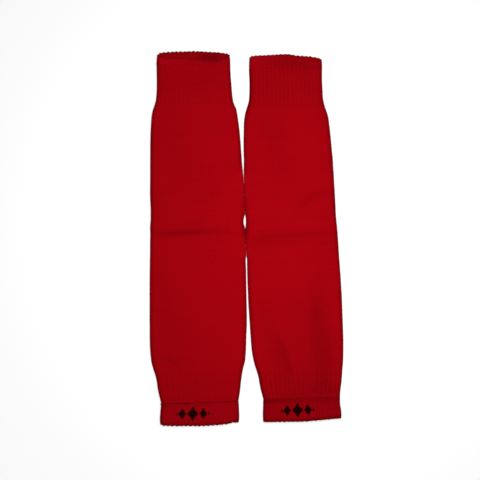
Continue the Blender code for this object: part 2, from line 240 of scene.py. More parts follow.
RIGHT_LEG = table(
    Section,
    (6.5, 38.8, 38.5, 4.7, 0.7, 1.0),
    (20.0, 39.0, 38.0, 4.8, 0.8, 1.0),
    (33.0, 39.7, 38.0, 4.8, 0.9, 1.0),
    (41.0, 40.7, 38.4, 4.7, 1.0, 1.0),
    (46.0, 42.3, 39.3, 4.5, 1.1, 0.8),
    (50.0, 43.9, 40.5, 4.3, 1.2, 0.3),
    (58.0, 46.0, 42.5, 4.0, 1.3, 0.0),
    (79.0, 48.2, 44.2, 3.8, 1.5, 0.0),
    (113.0, 49.6, 45.4, 3.8, 1.8, 0.0),
    (147.0, 50.6, 45.8, 3.8, 2.0, 0.0),
    (177.0, 51.1, 46.5, 3.8, 1.9, 0.0),
    (190.0, 51.3, 46.8, 3.8, 1.9, 0.0),
    (201.0, 51.3, 47.0, 3.8, 2.0, 0.0),
    (250.0, 51.8, 47.8, 3.8, 1.9, 0.0),
    (297.0, 51.0, 47.3, 3.9, 1.7, 0.0),
    (310.0, 50.3, 46.7, 4.0, 1.6, 0.0),
    (319.0, 49.0, 46.0, 4.1, 1.5, 0.0),
    (328.0, 46.9, 44.7, 4.4, 1.3, 0.3),
    (335.0, 45.0, 43.8, 4.7, 1.1, 1.0),
    (343.0, 43.9, 42.8, 4.8, 0.9, 1.0),
    (353.0, 42.5, 41.1, 4.8, 0.7, 1.0),
    (359.8, 40.9, 40.4, 4.6, 0.5, 1.0),
)
RIGHT_ANKLE_WELT = table(
    Section,
    (359.8, 40.9, 40.5, 5.4, 0.5, 0.8),
    (370.0, 41.6, 41.2, 5.8, 0.8, 0.8),
    (377.0, 42.1, 41.8, 5.8, 0.8, 0.8),
    (383.8, 42.2, 41.4, 5.6, 0.6, 0.8),
)

# Where the rims, seams and hem lie along the sock, from its left fold (-1) to its right fold (+1)
LEFT_EDGES = table(
    Edge,
    (-1.0, -7.8, -5.4, 4.9, 366.4, 388.0),
    (-0.9, -8.7, -4.2, 4.9, 366.4, 389.7),
    (-0.67, -9.5, -2.6, 5.0, 366.3, 390.2),
    (-0.33, -9.8, -2.4, 5.3, 366.2, 390.4),
    (0.0, -9.8, -1.3, 5.8, 366.0, 390.7),
    (0.33, -9.1, 0.4, 6.2, 365.7, 390.3),
    (0.67, -8.1, 1.2, 6.5, 365.4, 389.3),
    (0.9, -6.9, -1.4, 6.6, 365.2, 387.7),
    (1.0, -6.7, -3.8, 6.6, 365.1, 387.8),
)
RIGHT_EDGES = table(
    Edge,
    (-1.0, -7.0, -6.2, 5.2, 359.2, 382.5),
    (-0.9, -8.7, -7.6, 5.2, 359.2, 383.0),
    (-0.67, -8.7, -7.9, 5.3, 359.3, 383.3),
    (-0.33, -8.8, -8.0, 5.5, 359.4, 383.7),
    (0.0, -8.9, -7.3, 6.0, 359.6, 384.2),
    (0.33, -6.7, -4.4, 7.4, 359.9, 383.8),
    (0.67, -5.1, 0.6, 9.3, 360.3, 383.2),
    (0.9, -3.2, 0.8, 10.3, 360.5, 382.8),
    (1.0, -2.6, 0.4, 10.6, 360.6, 382.6),
)

# The creases that the cloth has kept, each a curve through three places. The columns after them:
# depth, and how far it reaches to either side. A ridge between two creases has a negative depth.
LEFT_CREASES = table(
    Stroke,
    (-46.0, 183.5, -8.0, 184.6, 42.0, 183.4, 1.0, 3.4, 4.6),
    (-20.0, 173.6, 0.0, 172.4, 24.0, 172.6, 0.4, 2.8, 4.0),
    (-40.0, 316.0, -30.0, 321.0, -18.0, 327.0, 0.35, 4.5, 5.5),
    (-44.0, 178.4, -8.0, 178.2, 34.0, 178.0, -0.4, 2.2, 2.2),
)
RIGHT_CREASES = table(
    Stroke,
    (-47.0, 191.6, -20.0, 184.4, 41.0, 184.2, 0.8, 3.8, 5.2),
    (10.0, 157.0, 17.0, 146.0, 34.0, 140.0, 0.4, 4.4, 5.6),
    (25.0, 254.0, 21.5, 292.0, 16.0, 331.0, 0.8, 10.5, 6.0),
    (-24.0, 273.0, -15.0, 303.0, -8.0, 331.0, 0.7, 6.0, 6.0),
    (-40.0, 184.0, -16.0, 178.0, 30.0, 178.4, -0.3, 2.8, 2.8),
    (6.0, 262.0, 3.0, 296.0, 2.0, 326.0, -0.3, 5.0, 5.0),
)

# Painted shade: where the folded cloth catches less light than its shape gives, each a curve like
# the creases. Its amount is the share of the light painted away. Below zero it is a painted
# highlight, where the cloth catches more, as along the front rims.
LEFT_SHADES = table(
    Stroke,
    (-46.5, 184.4, -26.0, 184.0, 33.0, 182.2, 0.27, 3.5, 4.1),
    (-34.0, 175.2, -6.0, 173.6, 24.0, 172.0, 0.09, 2.2, 2.4),
    (-41.0, 314.0, -32.0, 318.0, -20.0, 326.0, 0.09, 3.6, 4.0),
    (-20.0, 79.5, -11.0, 79.4, -2.0, 79.4, 0.05, 2.5, 2.5),
    (-44.0, 190.0, -40.0, 270.0, -34.0, 350.0, 0.05, 20.0, 20.0),
    (-60.0, 372.0, -20.0, 366.0, 30.0, 362.0, 0.04, 26.0, 20.0),
    (-18.0, 70.0, -12.0, 120.0, -6.0, 176.0, 0.06, 24.0, 28.0),
    (-30.0, 260.0, -16.0, 290.0, -8.0, 340.0, 0.035, 24.0, 24.0),
    (-60.0, -1.0, 0.0, -0.5, 60.0, -0.5, -0.27, 5.5, 5.5),
    (-60.0, -0.5, -38.0, -0.5, -8.0, -1.5, -0.17, 6.0, 6.0),
    (-60.0, 367.2, -34.0, 367.1, -6.0, 366.9, 0.12, 2.1, 2.1),
    (-6.0, 366.8, 3.0, 366.6, 12.0, 366.5, 0.1, 2.0, 2.0),
    (22.0, 366.1, 30.0, 366.0, 36.0, 365.9, 0.1, 2.0, 2.0),
)
RIGHT_SHADES = table(
    Stroke,
    (-50.0, 194.0, -22.0, 179.5, 44.0, 184.5, 0.14, 4.8, 8.5),
    (-10.0, 196.0, 16.0, 195.0, 50.0, 196.0, 0.035, 8.0, 12.0),
    (34.0, 139.5, 17.0, 142.0, 6.0, 160.0, 0.1, 4.4, 4.4),
    (21.0, 232.0, 18.5, 292.0, 16.5, 352.0, 0.17, 14.0, 6.5),
    (-34.0, 262.0, -24.0, 282.0, -9.5, 336.0, 0.08, 3.6, 12.0),
    (-19.0, 296.0, -14.0, 310.0, -9.5, 340.0, 0.1, 3.0, 12.0),
    (-12.5, 326.0, -10.8, 328.6, -9.5, 331.0, 0.12, 2.0, 2.4),
    (-60.0, 356.0, 0.0, 356.0, 60.0, 356.0, 0.07, 16.0, 26.0),
    (6.0, 346.0, 22.0, 350.0, 44.0, 350.0, 0.06, 5.0, 5.0),
    (-25.6, 50.0, -23.0, 72.0, -16.0, 96.0, 0.045, 5.0, 5.0),
    (-3.0, 98.0, -3.5, 108.0, -4.3, 118.0, 0.035, 4.0, 4.0),
    (-24.0, 3.0, 8.0, 1.5, 42.0, 3.5, 0.1, 6.0, 4.6),
    (8.0, -4.0, 30.0, -4.0, 50.0, -4.0, -0.25, 4.0, 4.0),
    (-60.0, -1.0, -32.0, -1.0, -2.0, -2.0, -0.2, 7.0, 7.0),
    (30.0, 280.0, 28.5, 318.0, 26.0, 358.0, 0.1, 7.0, 7.0),
    (-20.0, 56.0, -14.0, 90.0, -4.0, 136.0, 0.045, 17.0, 17.0),
    (40.0, 60.0, 43.0, 150.0, 43.0, 250.0, 0.05, 11.0, 11.0),
    (8.0, 244.0, 4.0, 280.0, 2.0, 330.0, 0.055, 18.0, 22.0),
    (-64.0, 361.2, -32.0, 361.2, -2.0, 361.2, 0.33, 2.3, 2.7),
    (-6.0, 361.2, 20.0, 361.4, 60.0, 361.6, 0.15, 2.3, 2.7),
)

# Painted shade in the same way for the lining that shows in the open mouth
LEFT_LINING_SHADES = table(
    Stroke,
    (-90.0, -4.0, 0.0, -4.0, 90.0, -4.0, 0.26, 3.0, 3.0),
    (3.0, -0.2, 20.0, -0.3, 33.0, -0.3, 0.38, 2.4, 2.4),
)
RIGHT_LINING_SHADES = table(
    Stroke,
    (-10.0, -4.2, 26.0, -4.2, 60.0, -4.2, 0.13, 1.8, 1.8),
)

# The creases of the underside, which lies flat between them
LEFT_UNDER_CREASES = table(
    Stroke,
    (-44.0, 118.0, -5.0, 128.0, 40.0, 121.0, 0.7, 4.0, 5.5),
    (-28.0, 238.0, 6.0, 230.0, 40.0, 237.0, 0.8, 5.0, 3.8),
    (8.0, 286.0, 17.0, 308.0, 30.0, 330.0, 0.6, 6.0, 7.0),
)
RIGHT_UNDER_CREASES = table(
    Stroke,
    (-38.0, 97.0, -8.0, 103.0, 22.0, 99.0, 0.5, 4.0, 4.6),
    (-46.0, 214.0, 2.0, 224.0, 41.0, 212.0, 0.8, 4.2, 5.4),
    (-20.0, 268.0, -14.0, 300.0, -24.0, 330.0, 0.7, 7.5, 5.0),
)

# How far each side fold strays from the smooth line of its sections. The two inner folds lie
# against each other and part a little between two such stretches.
LEFT_OUTER_SPREAD = table(
    Spread,
    (14.0, 0.0), (26.0, -0.1), (34.0, -0.2), (51.0, -0.2), (60.0, 0.0), (120.0, 0.0), (135.6, 0.2),
    (144.1, 0.3), (152.7, -0.1), (161.2, -0.42), (169.8, -0.38), (178.3, 0.08), (186.9, -0.2),
    (195.0, 0.0), (320.0, 0.0), (332.2, -0.5), (340.8, -0.2), (349.3, 0.0), (357.9, -0.6),
    (366.4, -0.45), (376.0, -0.1), (384.0, 0.0),
)
LEFT_INNER_SPREAD = table(
    Spread,
    (0.0, 0.0), (8.0, -0.3), (17.0, -0.25), (26.0, 0.0), (100.0, 0.0), (107.6, 0.0), (120.4, 0.3),
    (126.8, 0.34), (133.2, 0.25), (139.7, 0.08), (148.2, -0.05), (156.8, -0.1), (165.5, -0.1),
    (169.5, -1.2), (173.9, -1.75), (177.5, -1.2), (181.0, -0.07), (195.2, 0.01), (203.8, 0.14),
    (210.5, 0.2), (215.3, -0.45), (219.0, -0.3), (225.2, -0.1), (246.5, 0.0), (264.8, 0.28),
    (281.9, 0.55), (299.0, 0.24), (316.0, 0.24), (324.6, 0.5), (333.0, 0.1), (350.0, 0.18),
    (366.0, 0.03),
)
RIGHT_INNER_SPREAD = table(
    Spread,
    (8.0, 0.2), (21.0, 0.1), (46.0, 0.15), (55.0, 0.32), (63.7, 0.54), (72.2, 0.2), (97.8, 0.14),
    (102.2, 0.0), (115.0, 0.3), (121.4, 0.34), (127.8, 0.25), (134.3, 0.08), (142.8, -0.05),
    (151.4, -0.1), (161.0, -0.1), (165.0, -0.6), (168.5, -0.7), (172.0, -0.5), (175.5, -0.07),
    (189.8, 0.01), (198.4, 0.14), (205.0, 0.2), (210.0, -0.35), (214.0, -0.2), (219.8, -0.1),
    (241.1, 0.0), (320.0, 0.0), (329.0, -0.3), (346.2, -0.15), (354.7, -0.55), (362.5, 0.0),
)
RIGHT_OUTER_SPREAD = table(
    Spread,
    (-5.0, 0.5), (0.0, 0.3), (8.4, -0.25), (34.0, -0.2), (42.6, 0.1), (51.2, 0.3), (59.8, 0.2),
    (68.0, 0.0), (94.0, 0.0), (102.6, 0.22), (111.0, 0.0), (145.0, 0.0), (154.0, -0.12),
    (162.5, -0.38), (171.0, -0.32), (179.6, -0.02), (317.0, 0.0), (325.0, 0.18), (333.0, 0.0),
    (350.8, 0.15), (359.3, 0.1), (367.9, -0.58), (376.5, -0.48), (383.0, -0.3),
)

# Painted shade beside each fold: how much darker the cloth is painted there, as a share of its
# light
LEFT_OUTER_DIM = table(
    Dim,
    (0.0, 0.4), (18.0, 0.28), (60.0, 0.29), (76.0, 0.39), (124.0, 0.4), (193.0, 0.36), (214.0, 0.3),
    (248.0, 0.29), (266.0, 0.33), (290.0, 0.27), (324.0, 0.37), (350.0, 0.32), (378.0, 0.4),
)
LEFT_INNER_DIM = table(
    Dim,
    (0.0, 0.24), (68.0, 0.25), (86.0, 0.31), (112.0, 0.3), (123.0, 0.0), (150.0, 0.08),
    (163.0, 0.26), (172.0, 0.26), (180.0, 0.4), (190.0, 0.28), (196.0, 0.03), (208.0, 0.0),
    (216.0, 0.3), (230.0, 0.27), (308.0, 0.3), (340.0, 0.25), (378.0, 0.24),
)
RIGHT_INNER_DIM = table(
    Dim,
    (0.0, 0.28), (10.0, 0.34), (26.0, 0.38), (56.0, 0.37), (64.0, 0.31), (112.0, 0.28),
    (124.0, 0.0), (146.0, 0.1), (158.0, 0.27), (167.0, 0.3), (175.0, 0.42), (184.0, 0.3),
    (192.0, 0.02), (202.0, 0.0), (211.0, 0.25), (232.0, 0.3), (260.0, 0.37), (280.0, 0.3),
    (316.0, 0.31), (334.0, 0.44), (346.0, 0.34), (374.0, 0.34),
)
RIGHT_OUTER_DIM = table(
    Dim,
    (0.0, 0.32), (10.0, 0.23), (60.0, 0.24), (90.0, 0.3), (122.0, 0.28), (160.0, 0.34),
    (170.0, 0.26), (240.0, 0.24), (258.0, 0.32), (290.0, 0.26), (320.0, 0.22), (340.0, 0.15),
    (374.0, 0.15),
)

# Where the linking yarn shows at the ankle seam, and how thick it shows. It is bare elsewhere.
LEFT_RUNS = table(
    Run,
    (-41.0, -31.5, 1.04), (-28.4, -22.8, 0.9), (-17.6, -9.2, 1.04), (-6.6, -4.4, 0.5),
    (-1.6, 9.5, 1.02), (9.5, 14.6, 0.55), (24.3, 33.2, 1.0),
)
RIGHT_RUNS = table(
    Run,
    (-38.5, -23.0, 0.6), (-21.5, -2.0, 0.65), (-1.0, 6.0, 0.3), (10.0, 17.0, 0.25),
    (20.0, 26.0, 1.06), (28.5, 34.0, 0.45),
)

SOCKS = (
    Sock("left", -56.8, 190.6, 1.08,
         LEFT_TOP_WELT, LEFT_LEG, LEFT_ANKLE_WELT, LEFT_EDGES, LEFT_CREASES, LEFT_SHADES,
         LEFT_LINING_SHADES, LEFT_UNDER_CREASES, LEFT_OUTER_SPREAD, LEFT_INNER_SPREAD,
         LEFT_OUTER_DIM, LEFT_INNER_DIM, 0.5, LEFT_RUNS, (-7.6, 377.6)),
    Sock("right", 41.8, 188.5, 2.76,
         RIGHT_TOP_WELT, RIGHT_LEG, RIGHT_ANKLE_WELT, RIGHT_EDGES, RIGHT_CREASES, RIGHT_SHADES,
         RIGHT_LINING_SHADES, RIGHT_UNDER_CREASES, RIGHT_INNER_SPREAD, RIGHT_OUTER_SPREAD,
         RIGHT_INNER_DIM, RIGHT_OUTER_DIM, 1.0, RIGHT_RUNS, (-5.0, 371.2)),
)

# The motif knitted into each ankle welt, a row of lozenges. The columns: wales from its middle,
# half width in wales and half height in courses.
LOZENGES = (
    (0.0, 5.0, 6.6),
    (-9.4, 3.5, 5.4),
    (9.4, 3.5, 5.4),
    (-14.3, 1.2, 1.8),
    (14.3, 1.2, 1.8),
)


def linear(hex_colour):
    """An sRGB hex colour as the linear numbers that Blender works in."""
    channels = [int(hex_colour[i:i + 2], 16) / 255.0 for i in (1, 3, 5)]
    return tuple(c / 12.92 if c <= 0.04045 else ((c + 0.055) / 1.055) ** 2.4 for c in channels)


class ClothSettings(bpy.types.PropertyGroup):
    """Sizes and colours of the knit."""

    rib_depth: bpy.props.FloatProperty(
        name="Rib depth", description="Depth of the purl grooves between two ribs",
        default=RIB_DEPTH, min=0.0, subtype="DISTANCE", unit="LENGTH")
    groove_width: bpy.props.FloatProperty(
        name="Groove width", description="Width of a purl groove, in wales",
        default=GROOVE_WIDTH, min=0.5)
    wale_relief: bpy.props.FloatProperty(
        name="Wale relief", description="Depth of the valleys between two wales",
        default=WALE_RELIEF, min=0.0, subtype="DISTANCE", unit="LENGTH")
    unevenness: bpy.props.FloatProperty(
        name="Unevenness", description="How far the relaxed cloth dips here and there",
        default=UNEVENNESS, min=0.0, subtype="DISTANCE", unit="LENGTH")
    course_height: bpy.props.FloatProperty(
        name="Course height", description="Height of one row of stitches",
        default=1.15 * MM, min=0.0, subtype="DISTANCE", unit="LENGTH")
    stitch_relief: bpy.props.FloatProperty(
        name="Stitch relief", description="Depth of the stitches in the surface",
        default=0.2 * MM, min=0.0, subtype="DISTANCE", unit="LENGTH")
    linking_thickness: bpy.props.FloatProperty(
        name="Linking yarn", description="Thickness of the dark yarn that links the ankle welt",
        default=LINKING_THICKNESS, min=0.0, subtype="DISTANCE", unit="LENGTH")
    linking_spacing: bpy.props.FloatProperty(
        name="Linking spacing", description="From one linking stitch to the next",
        default=LINKING_SPACING, min=0.0, subtype="DISTANCE", unit="LENGTH")
    loop_radius: bpy.props.FloatProperty(
        name="Loop radius", description="Radius of the loops along a turned edge",
        default=LOOP_RADIUS, min=0.0, subtype="DISTANCE", unit="LENGTH")
    yarn_radius: bpy.props.FloatProperty(
        name="Yarn radius", description="Radius of the yarn of those loops",
        default=YARN_RADIUS, min=0.0, subtype="DISTANCE", unit="LENGTH")
    leg_colour: bpy.props.FloatVectorProperty(
        name="Leg", description="Colour of the cuff, leg and ankle rib",
        default=linear("#93020b"), subtype="COLOR", size=3, min=0.0, max=1.0)
    welt_colour: bpy.props.FloatVectorProperty(
        name="Welts", description="Colour of the doubled bands",
        default=linear("#8f020c"), subtype="COLOR", size=3, min=0.0, max=1.0)
    linking_colour: bpy.props.FloatVectorProperty(
        name="Linking", description="Colour of the linking yarn",
        default=linear("#3c0306"), subtype="COLOR", size=3, min=0.0, max=1.0)
    motif_colour: bpy.props.FloatVectorProperty(
        name="Motif", description="Colour of the lozenges knitted into the ankle welts",
        default=linear("#170102"), subtype="COLOR", size=3, min=0.0, max=1.0)


class StageSettings(bpy.types.PropertyGroup):
    """The table, the light and the lens."""

    floor_colour: bpy.props.FloatVectorProperty(
        name="Floor", description="Colour of the surface that the socks lie on",
        default=linear("#959595"), subtype="COLOR", size=3, min=0.0, max=1.0)
    floor_glow: bpy.props.FloatProperty(
        name="Floor glow",
        description="Light that the table gives of itself, as a light table does",
        default=0.7, min=0.0)
    overhead_power: bpy.props.FloatProperty(
        name="Overhead", description="Power of the soft lamp above the pair", default=2.45,
        min=0.0, unit="POWER")
    front_power: bpy.props.FloatProperty(
        name="Front", description="Power of the soft lamp on the side of the ankles", default=4.5,
        min=0.0, unit="POWER")
    ambient: bpy.props.FloatProperty(
        name="Ambient", description="Strength of the light from all round", default=0.25, min=0.0)
    focal_length: bpy.props.FloatProperty(
        name="Lens", description="Focal length of the camera", default=85.0, min=1.0,
        subtype="DISTANCE_CAMERA")


def smooth_column(table, key, column, at):
    """One column of a table at any places, on a curve that never overshoots the table's rows."""
    places = np.array([getattr(row, key) for row in table])
    values = np.array([getattr(row, column) for row in table])
    gaps = np.diff(places)
    slopes = np.diff(values) / gaps
    before, after = slopes[:-1], slopes[1:]
    same_way = before * after > 0.0
    whole = np.where(same_way, before + after, 1.0)
    inner = np.where(same_way, 2.0 * before * after / whole, 0.0)
    tangents = np.concatenate([slopes[:1], inner, slopes[-1:]])
    at = np.clip(at, places[0], places[-1])
    here = np.clip(np.searchsorted(places, at, side="right") - 1, 0, len(gaps) - 1)
    gap = gaps[here]
    t = (at - places[here]) / gap
    rise = values[here + 1] - values[here]
    start, end = tangents[here] * gap, tangents[here + 1] * gap
    bend = start + end - 2.0 * rise
    return values[here] + t * (start + t * (3.0 * rise - 2.0 * start - end + t * bend))


def stroke_field(strokes, across, along):
    """The sum of the strokes at each place, each full on its curve and fading to its sides."""
    total = np.zeros(np.broadcast(across, along).shape)
    t = np.linspace(0.0, 1.0, STROKE_SAMPLES)
    start, middle, end = (1 - t) ** 2, 2 * t * (1 - t), t * t
    for stroke in strokes:
        x = start * stroke.from_across + middle * stroke.by_across + end * stroke.to_across
        y = start * stroke.from_along + middle * stroke.by_along + end * stroke.to_along
        away_x, away_y = across[..., None] - x, along[..., None] - y
        distance = np.hypot(away_x, away_y)
        nearest = np.argmin(distance, axis=-1)
        least = np.min(distance, axis=-1)
        turn = np.gradient(x)[nearest] * (along - y[nearest])
        turn -= np.gradient(y)[nearest] * (across - x[nearest])
        width = np.where(turn > 0.0, stroke.second_width, stroke.first_width)
        share = np.clip(t[nearest], STROKE_TIP, 1.0 - STROKE_TIP)
        total += stroke.amount * np.sqrt(np.sin(np.pi * share)) * np.exp(-((least / width) ** 2))
    return total


def painted_band(away):
    """How full the band of painted shade beside a fold or a hem is, this far from its edge."""
    return np.exp(-(((away - PAINTED_BAND_FROM) / PAINTED_BAND_REACH) ** 2))


class Stretch:
    """One knitted stretch of a sock between two lines, such as its rim and its top seam."""

    def __init__(self, sock, name, upper, lower):
        self.sock = sock
        self.name = f"{sock.name}_{name}"
        self.sections = getattr(sock, name)
        self.upper = upper
        self.lower = lower
        self.first, self.last = self.sections[0].along, self.sections[-1].along

    def value(self, column, station):
        """A column of the sections at each station, the folds with what they stray."""
        values = smooth_column(self.sections, "along", column, station)
        if column in ("left", "right"):
            spread = getattr(self.sock, column + "_spread")
            values = values + smooth_column(spread, "along", "by", station)
        return values

    def wall(self, station):
        """How thick the cloth is: half of what the slit leaves of the height."""
        return (float(self.value("height", np.array(station))) - SLIT) / 2.0

    def line(self, name, side, front):
        """Where an edge lies along the sock, from its left fold to its right one."""
        edges = self.sock.edges
        if name != "rim":
            return smooth_column(edges, "side", name, side)
        back = smooth_column(edges, "side", "back_rim", side)
        return back + front * (smooth_column(edges, "side", "front_rim", side) - back)

    def points(self, rows, turns, proud=0.0, lining=False):
        """Points in metres for all rows and turns, their place along the sock and their painted
        shade.
        """
        station, shift, inset, roll, scallop = (np.array(column)[:, None] for column in zip(*rows))
        turn = np.array(turns)[None, :]
        left, right = self.value("left", station), self.value("right", station)
        height, loft = self.value("height", station), self.value("loft", station)
        radius = height / 2.0
        fold = np.pi * radius
        flat = left + right - height
        distance = turn * (flat + 2.0 * fold)
        under = turn > 1.0
        right_fold = distance < fold
        panel = ~right_fold & (distance <= fold + flat)
        angle = np.where(right_fold, distance, distance - flat) / radius
        front = np.select([under, right_fold, panel],
                          [0.0 * angle, angle / np.pi, 1.0 + 0.0 * angle], 2.0 - angle / np.pi)
        inset = inset + roll * np.clip(2.0 * front - 1.0, BACK_ROLL, 1.0)
        inset = inset - proud * np.clip(2.0 * front, 0.0, 1.0)
        bulge = (radius - inset) * np.sin(angle)
        across = np.select(
            [under, right_fold, panel],
            [radius - left + (turn - 1.0) * flat, right - radius + bulge,
             right - radius - (distance - fold)],
            radius - left + bulge)
        side = (2.0 * across - right + left) / (right + left)
        share = (station - self.first) / (self.last - self.first)
        upper, lower = self.line(self.upper, side, front), self.line(self.lower, side, front)
        drawn = scallop * self.scallops(turn)
        along = upper + share * (lower - upper) + shift + drawn
        middle = np.clip(np.abs(2.0 * across - right + left) / flat, 0.0, 1.0)
        fade = 1.0 - middle**FOLD_POWER
        place = station + 0.0 * across
        crown = height - inset + loft * (1.0 - middle**PANEL_POWER)
        crown -= fade * stroke_field(self.sock.creases, across, place)
        floor = inset + fade * stroke_field(self.sock.under_creases, across, place)
        up = np.select([under, panel], [floor, crown], radius - (radius - inset) * np.cos(angle))
        # The painted shade: the stroke tables, and beside the folds and the hem a painted dim band
        if lining:
            shade = np.where(under, stroke_field(self.sock.lining_shades, across, place), 0.0)
        else:
            shade = np.where(under, 0.0, stroke_field(self.sock.shades, across, place))
            painted_light = 1.0 - self.dim("left_dim", place, left + across)
            painted_light *= 1.0 - self.dim("right_dim", place, right - across)
            if self.lower == "hem":
                painted_light *= 1.0 - HEM_PAINTED_SHADE * painted_band(lower + drawn - along)
            shade = 1.0 - (1.0 - shade) * painted_light
        return self.placed(across, along, up), along, shade

    def dim(self, side, place, away):
        """The painted shade at each place beside one of the two folds, as a share of the light."""
        return smooth_column(getattr(self.sock, side), "along", "loss", place) * painted_band(away)

    def scallops(self, turn):
        """How far a turned edge is drawn in at each place: most at a purl wale, uneven in size."""
        wale = self.wale(turn)
        draw = np.random.default_rng(len(self.name))
        uneven = draw.uniform(*SCALLOP_SHARES, WALES_AROUND // RIB_WALES)
        rib = np.minimum(wale // RIB_WALES, len(uneven) - 1).astype(int)
        return -0.5 * np.cos(2.0 * np.pi * wale / RIB_WALES) * uneven[rib]

    def placed(self, across, along, up):
        """Places of the sock's own frame, in millimetres, as metres in the pair's frame."""
        tilt = math.radians(self.sock.tilt)
        x = self.sock.across + across * math.cos(tilt) + along * math.sin(tilt)
        y = self.sock.up + across * math.sin(tilt) - along * math.cos(tilt)
        return np.stack([x, y, up + 0.0 * x], axis=-1) * MM

    def wale(self, turn):
        """The number of the wale at each turn, counted from the right fold over the front."""
        turn = np.asarray(turn)
        return np.where(turn <= 1.0, FRONT_WALES * turn, FRONT_WALES + UNDER_WALES * (turn - 1.0))


def rolled_rows(station, inward, wall, length, share, power, scallop):
    """Rows of the outer and of the inner face at an edge that rolls in, from its end inwards.

    They lie closer together towards the end, which keeps it crisp.
    """
    outer = []
    clear = 0.0 if scallop else inward * SEAM_CLEARANCE
    for rolled in 1.0 - np.linspace(0.0, 1.0, ROLL_ROWS) ** 2:
        place = station + inward * length * (1.0 - rolled)
        roll = share * wall * rolled**power
        outer.append(Row(place, clear, 0.0, roll, inward * scallop * rolled))
    lip = min(LIP, length / 2.0)
    inner = [Row(station, inward * lip, wall, 0.0, inward * scallop)]
    inner += [Row(row.station, 0.0, wall) for row in outer
              if abs(row.station - station) >= min(length, 2.0 * LIP)]
    return outer, inner


def even_rows(start, end, step):
    """Rows between two stations, about a step apart."""
    count = max(2, round((end - start) / step))
    return [Row(start + (end - start) * row / count) for row in range(1, count)]


def even_turns(front_count, under_count):
    """Turns all round a tube: from 0 over the front and its folds, from 1 over the underside."""
    front = [column / front_count for column in range(front_count)]
    return front + [1.0 + column / under_count for column in range(under_count)]


def zip_rings(first, second):
    """Triangles between two closed rings of point numbers, paired by their share of the way."""
    triangles = []
    a = b = 0
    while a < len(first) or b < len(second):
        step_a = a * len(second) <= b * len(first) if a < len(first) else False
        corner_a, corner_b = first[a % len(first)], second[b % len(second)]
        if step_a or b == len(second):
            a += 1
            triangles.append((corner_a, first[a % len(first)], corner_b))
        else:
            b += 1
            triangles.append((corner_a, second[b % len(second)], corner_b))
    return triangles


def grid_quads(row_count, column_count, start):
    """Quads of a grid whose columns close on themselves."""
    rows = np.arange(row_count - 1)[:, None] * column_count
    columns = np.arange(column_count)[None, :]
    following = (columns + 1) % column_count
    corners = [rows + columns, rows + following, rows + column_count + following,
               rows + column_count + columns]
    return (np.stack(corners, axis=-1).reshape(-1, 4) + start).tolist()


def build_wall(stretch, upper_end, lower_end):
    """A closed wall of cloth as a mesh object, with its stitch coordinates stored on it."""
    first, last = stretch.first, stretch.last
    outer, inner = rolled_rows(first, 1.0, stretch.wall(first), *upper_end)
    outer_end, inner_end = rolled_rows(last, -1.0, stretch.wall(last), *lower_end)
    start, stop = outer[-1].station, outer_end[-1].station
    outer = outer + even_rows(start, stop, ROW_STEP) + outer_end[::-1]
    inner += [row._replace(inset=stretch.wall(row.station))
              for row in even_rows(start, stop, INNER_ROW_STEP)]
    inner += inner_end[::-1]
    outer_turns = even_turns(FRONT_WALES * COLUMNS_PER_WALE, UNDER_WALES * COLUMNS_PER_WALE)
    inner_turns = even_turns(FRONT_WALES * INNER_COLUMNS_PER_RIB // RIB_WALES,
                             UNDER_WALES * INNER_COLUMNS_PER_RIB // RIB_WALES)
    places, along, wales = [], [], []
    # The shade stored here is painted shade: the knit material darkens its colour by it
    attributes = {"wale": wales, "rib": [], "skin": [], "shade": []}
    for rows, turns, skin in ((outer, outer_turns, 1.0), (inner, inner_turns, 0.0)):
        where, how_far, shade = stretch.points(rows, turns, NAP * skin, lining=not skin)
        places.append(where.reshape(-1, 3))
        along.append(how_far.ravel())
        wales.append(np.tile(stretch.wale(turns), len(rows)))
        groove = stretch.value("groove", np.array([row.station for row in rows]))
        attributes["rib"].append(np.repeat(groove * stretch.sock.rib_share, len(turns)))
        attributes["skin"].append(np.full(shade.size, skin))
        attributes["shade"].append(shade.ravel())
    around, inner_around = len(outer_turns), len(inner_turns)
    inner_start = len(outer) * around
    faces = [quad[::-1] for quad in grid_quads(len(outer), around, 0)]
    faces += grid_quads(len(inner), inner_around, inner_start)
    faces += zip_rings(range(around), range(inner_start, inner_start + inner_around))
    outer_last = inner_start - around
    inner_last = inner_start + (len(inner) - 1) * inner_around
    closing = zip_rings(range(outer_last, outer_last + around),
                        range(inner_last, inner_last + inner_around))
    faces += [triangle[::-1] for triangle in closing]
    mesh = bpy.data.meshes.new(stretch.name)
    mesh.from_pydata(np.concatenate(places).tolist(), [], faces)
    for name, values in attributes.items():
        attribute = mesh.attributes.new(name, "FLOAT", "POINT")
        attribute.data.foreach_set("value", np.concatenate(values))
    store_stitch_map(mesh, stretch, np.concatenate(wales), np.concatenate(along))
    mesh.shade_smooth()
    piece = bpy.data.objects.new(stretch.name + "_cloth", mesh)
    bpy.context.scene.collection.objects.link(piece)
    return piece


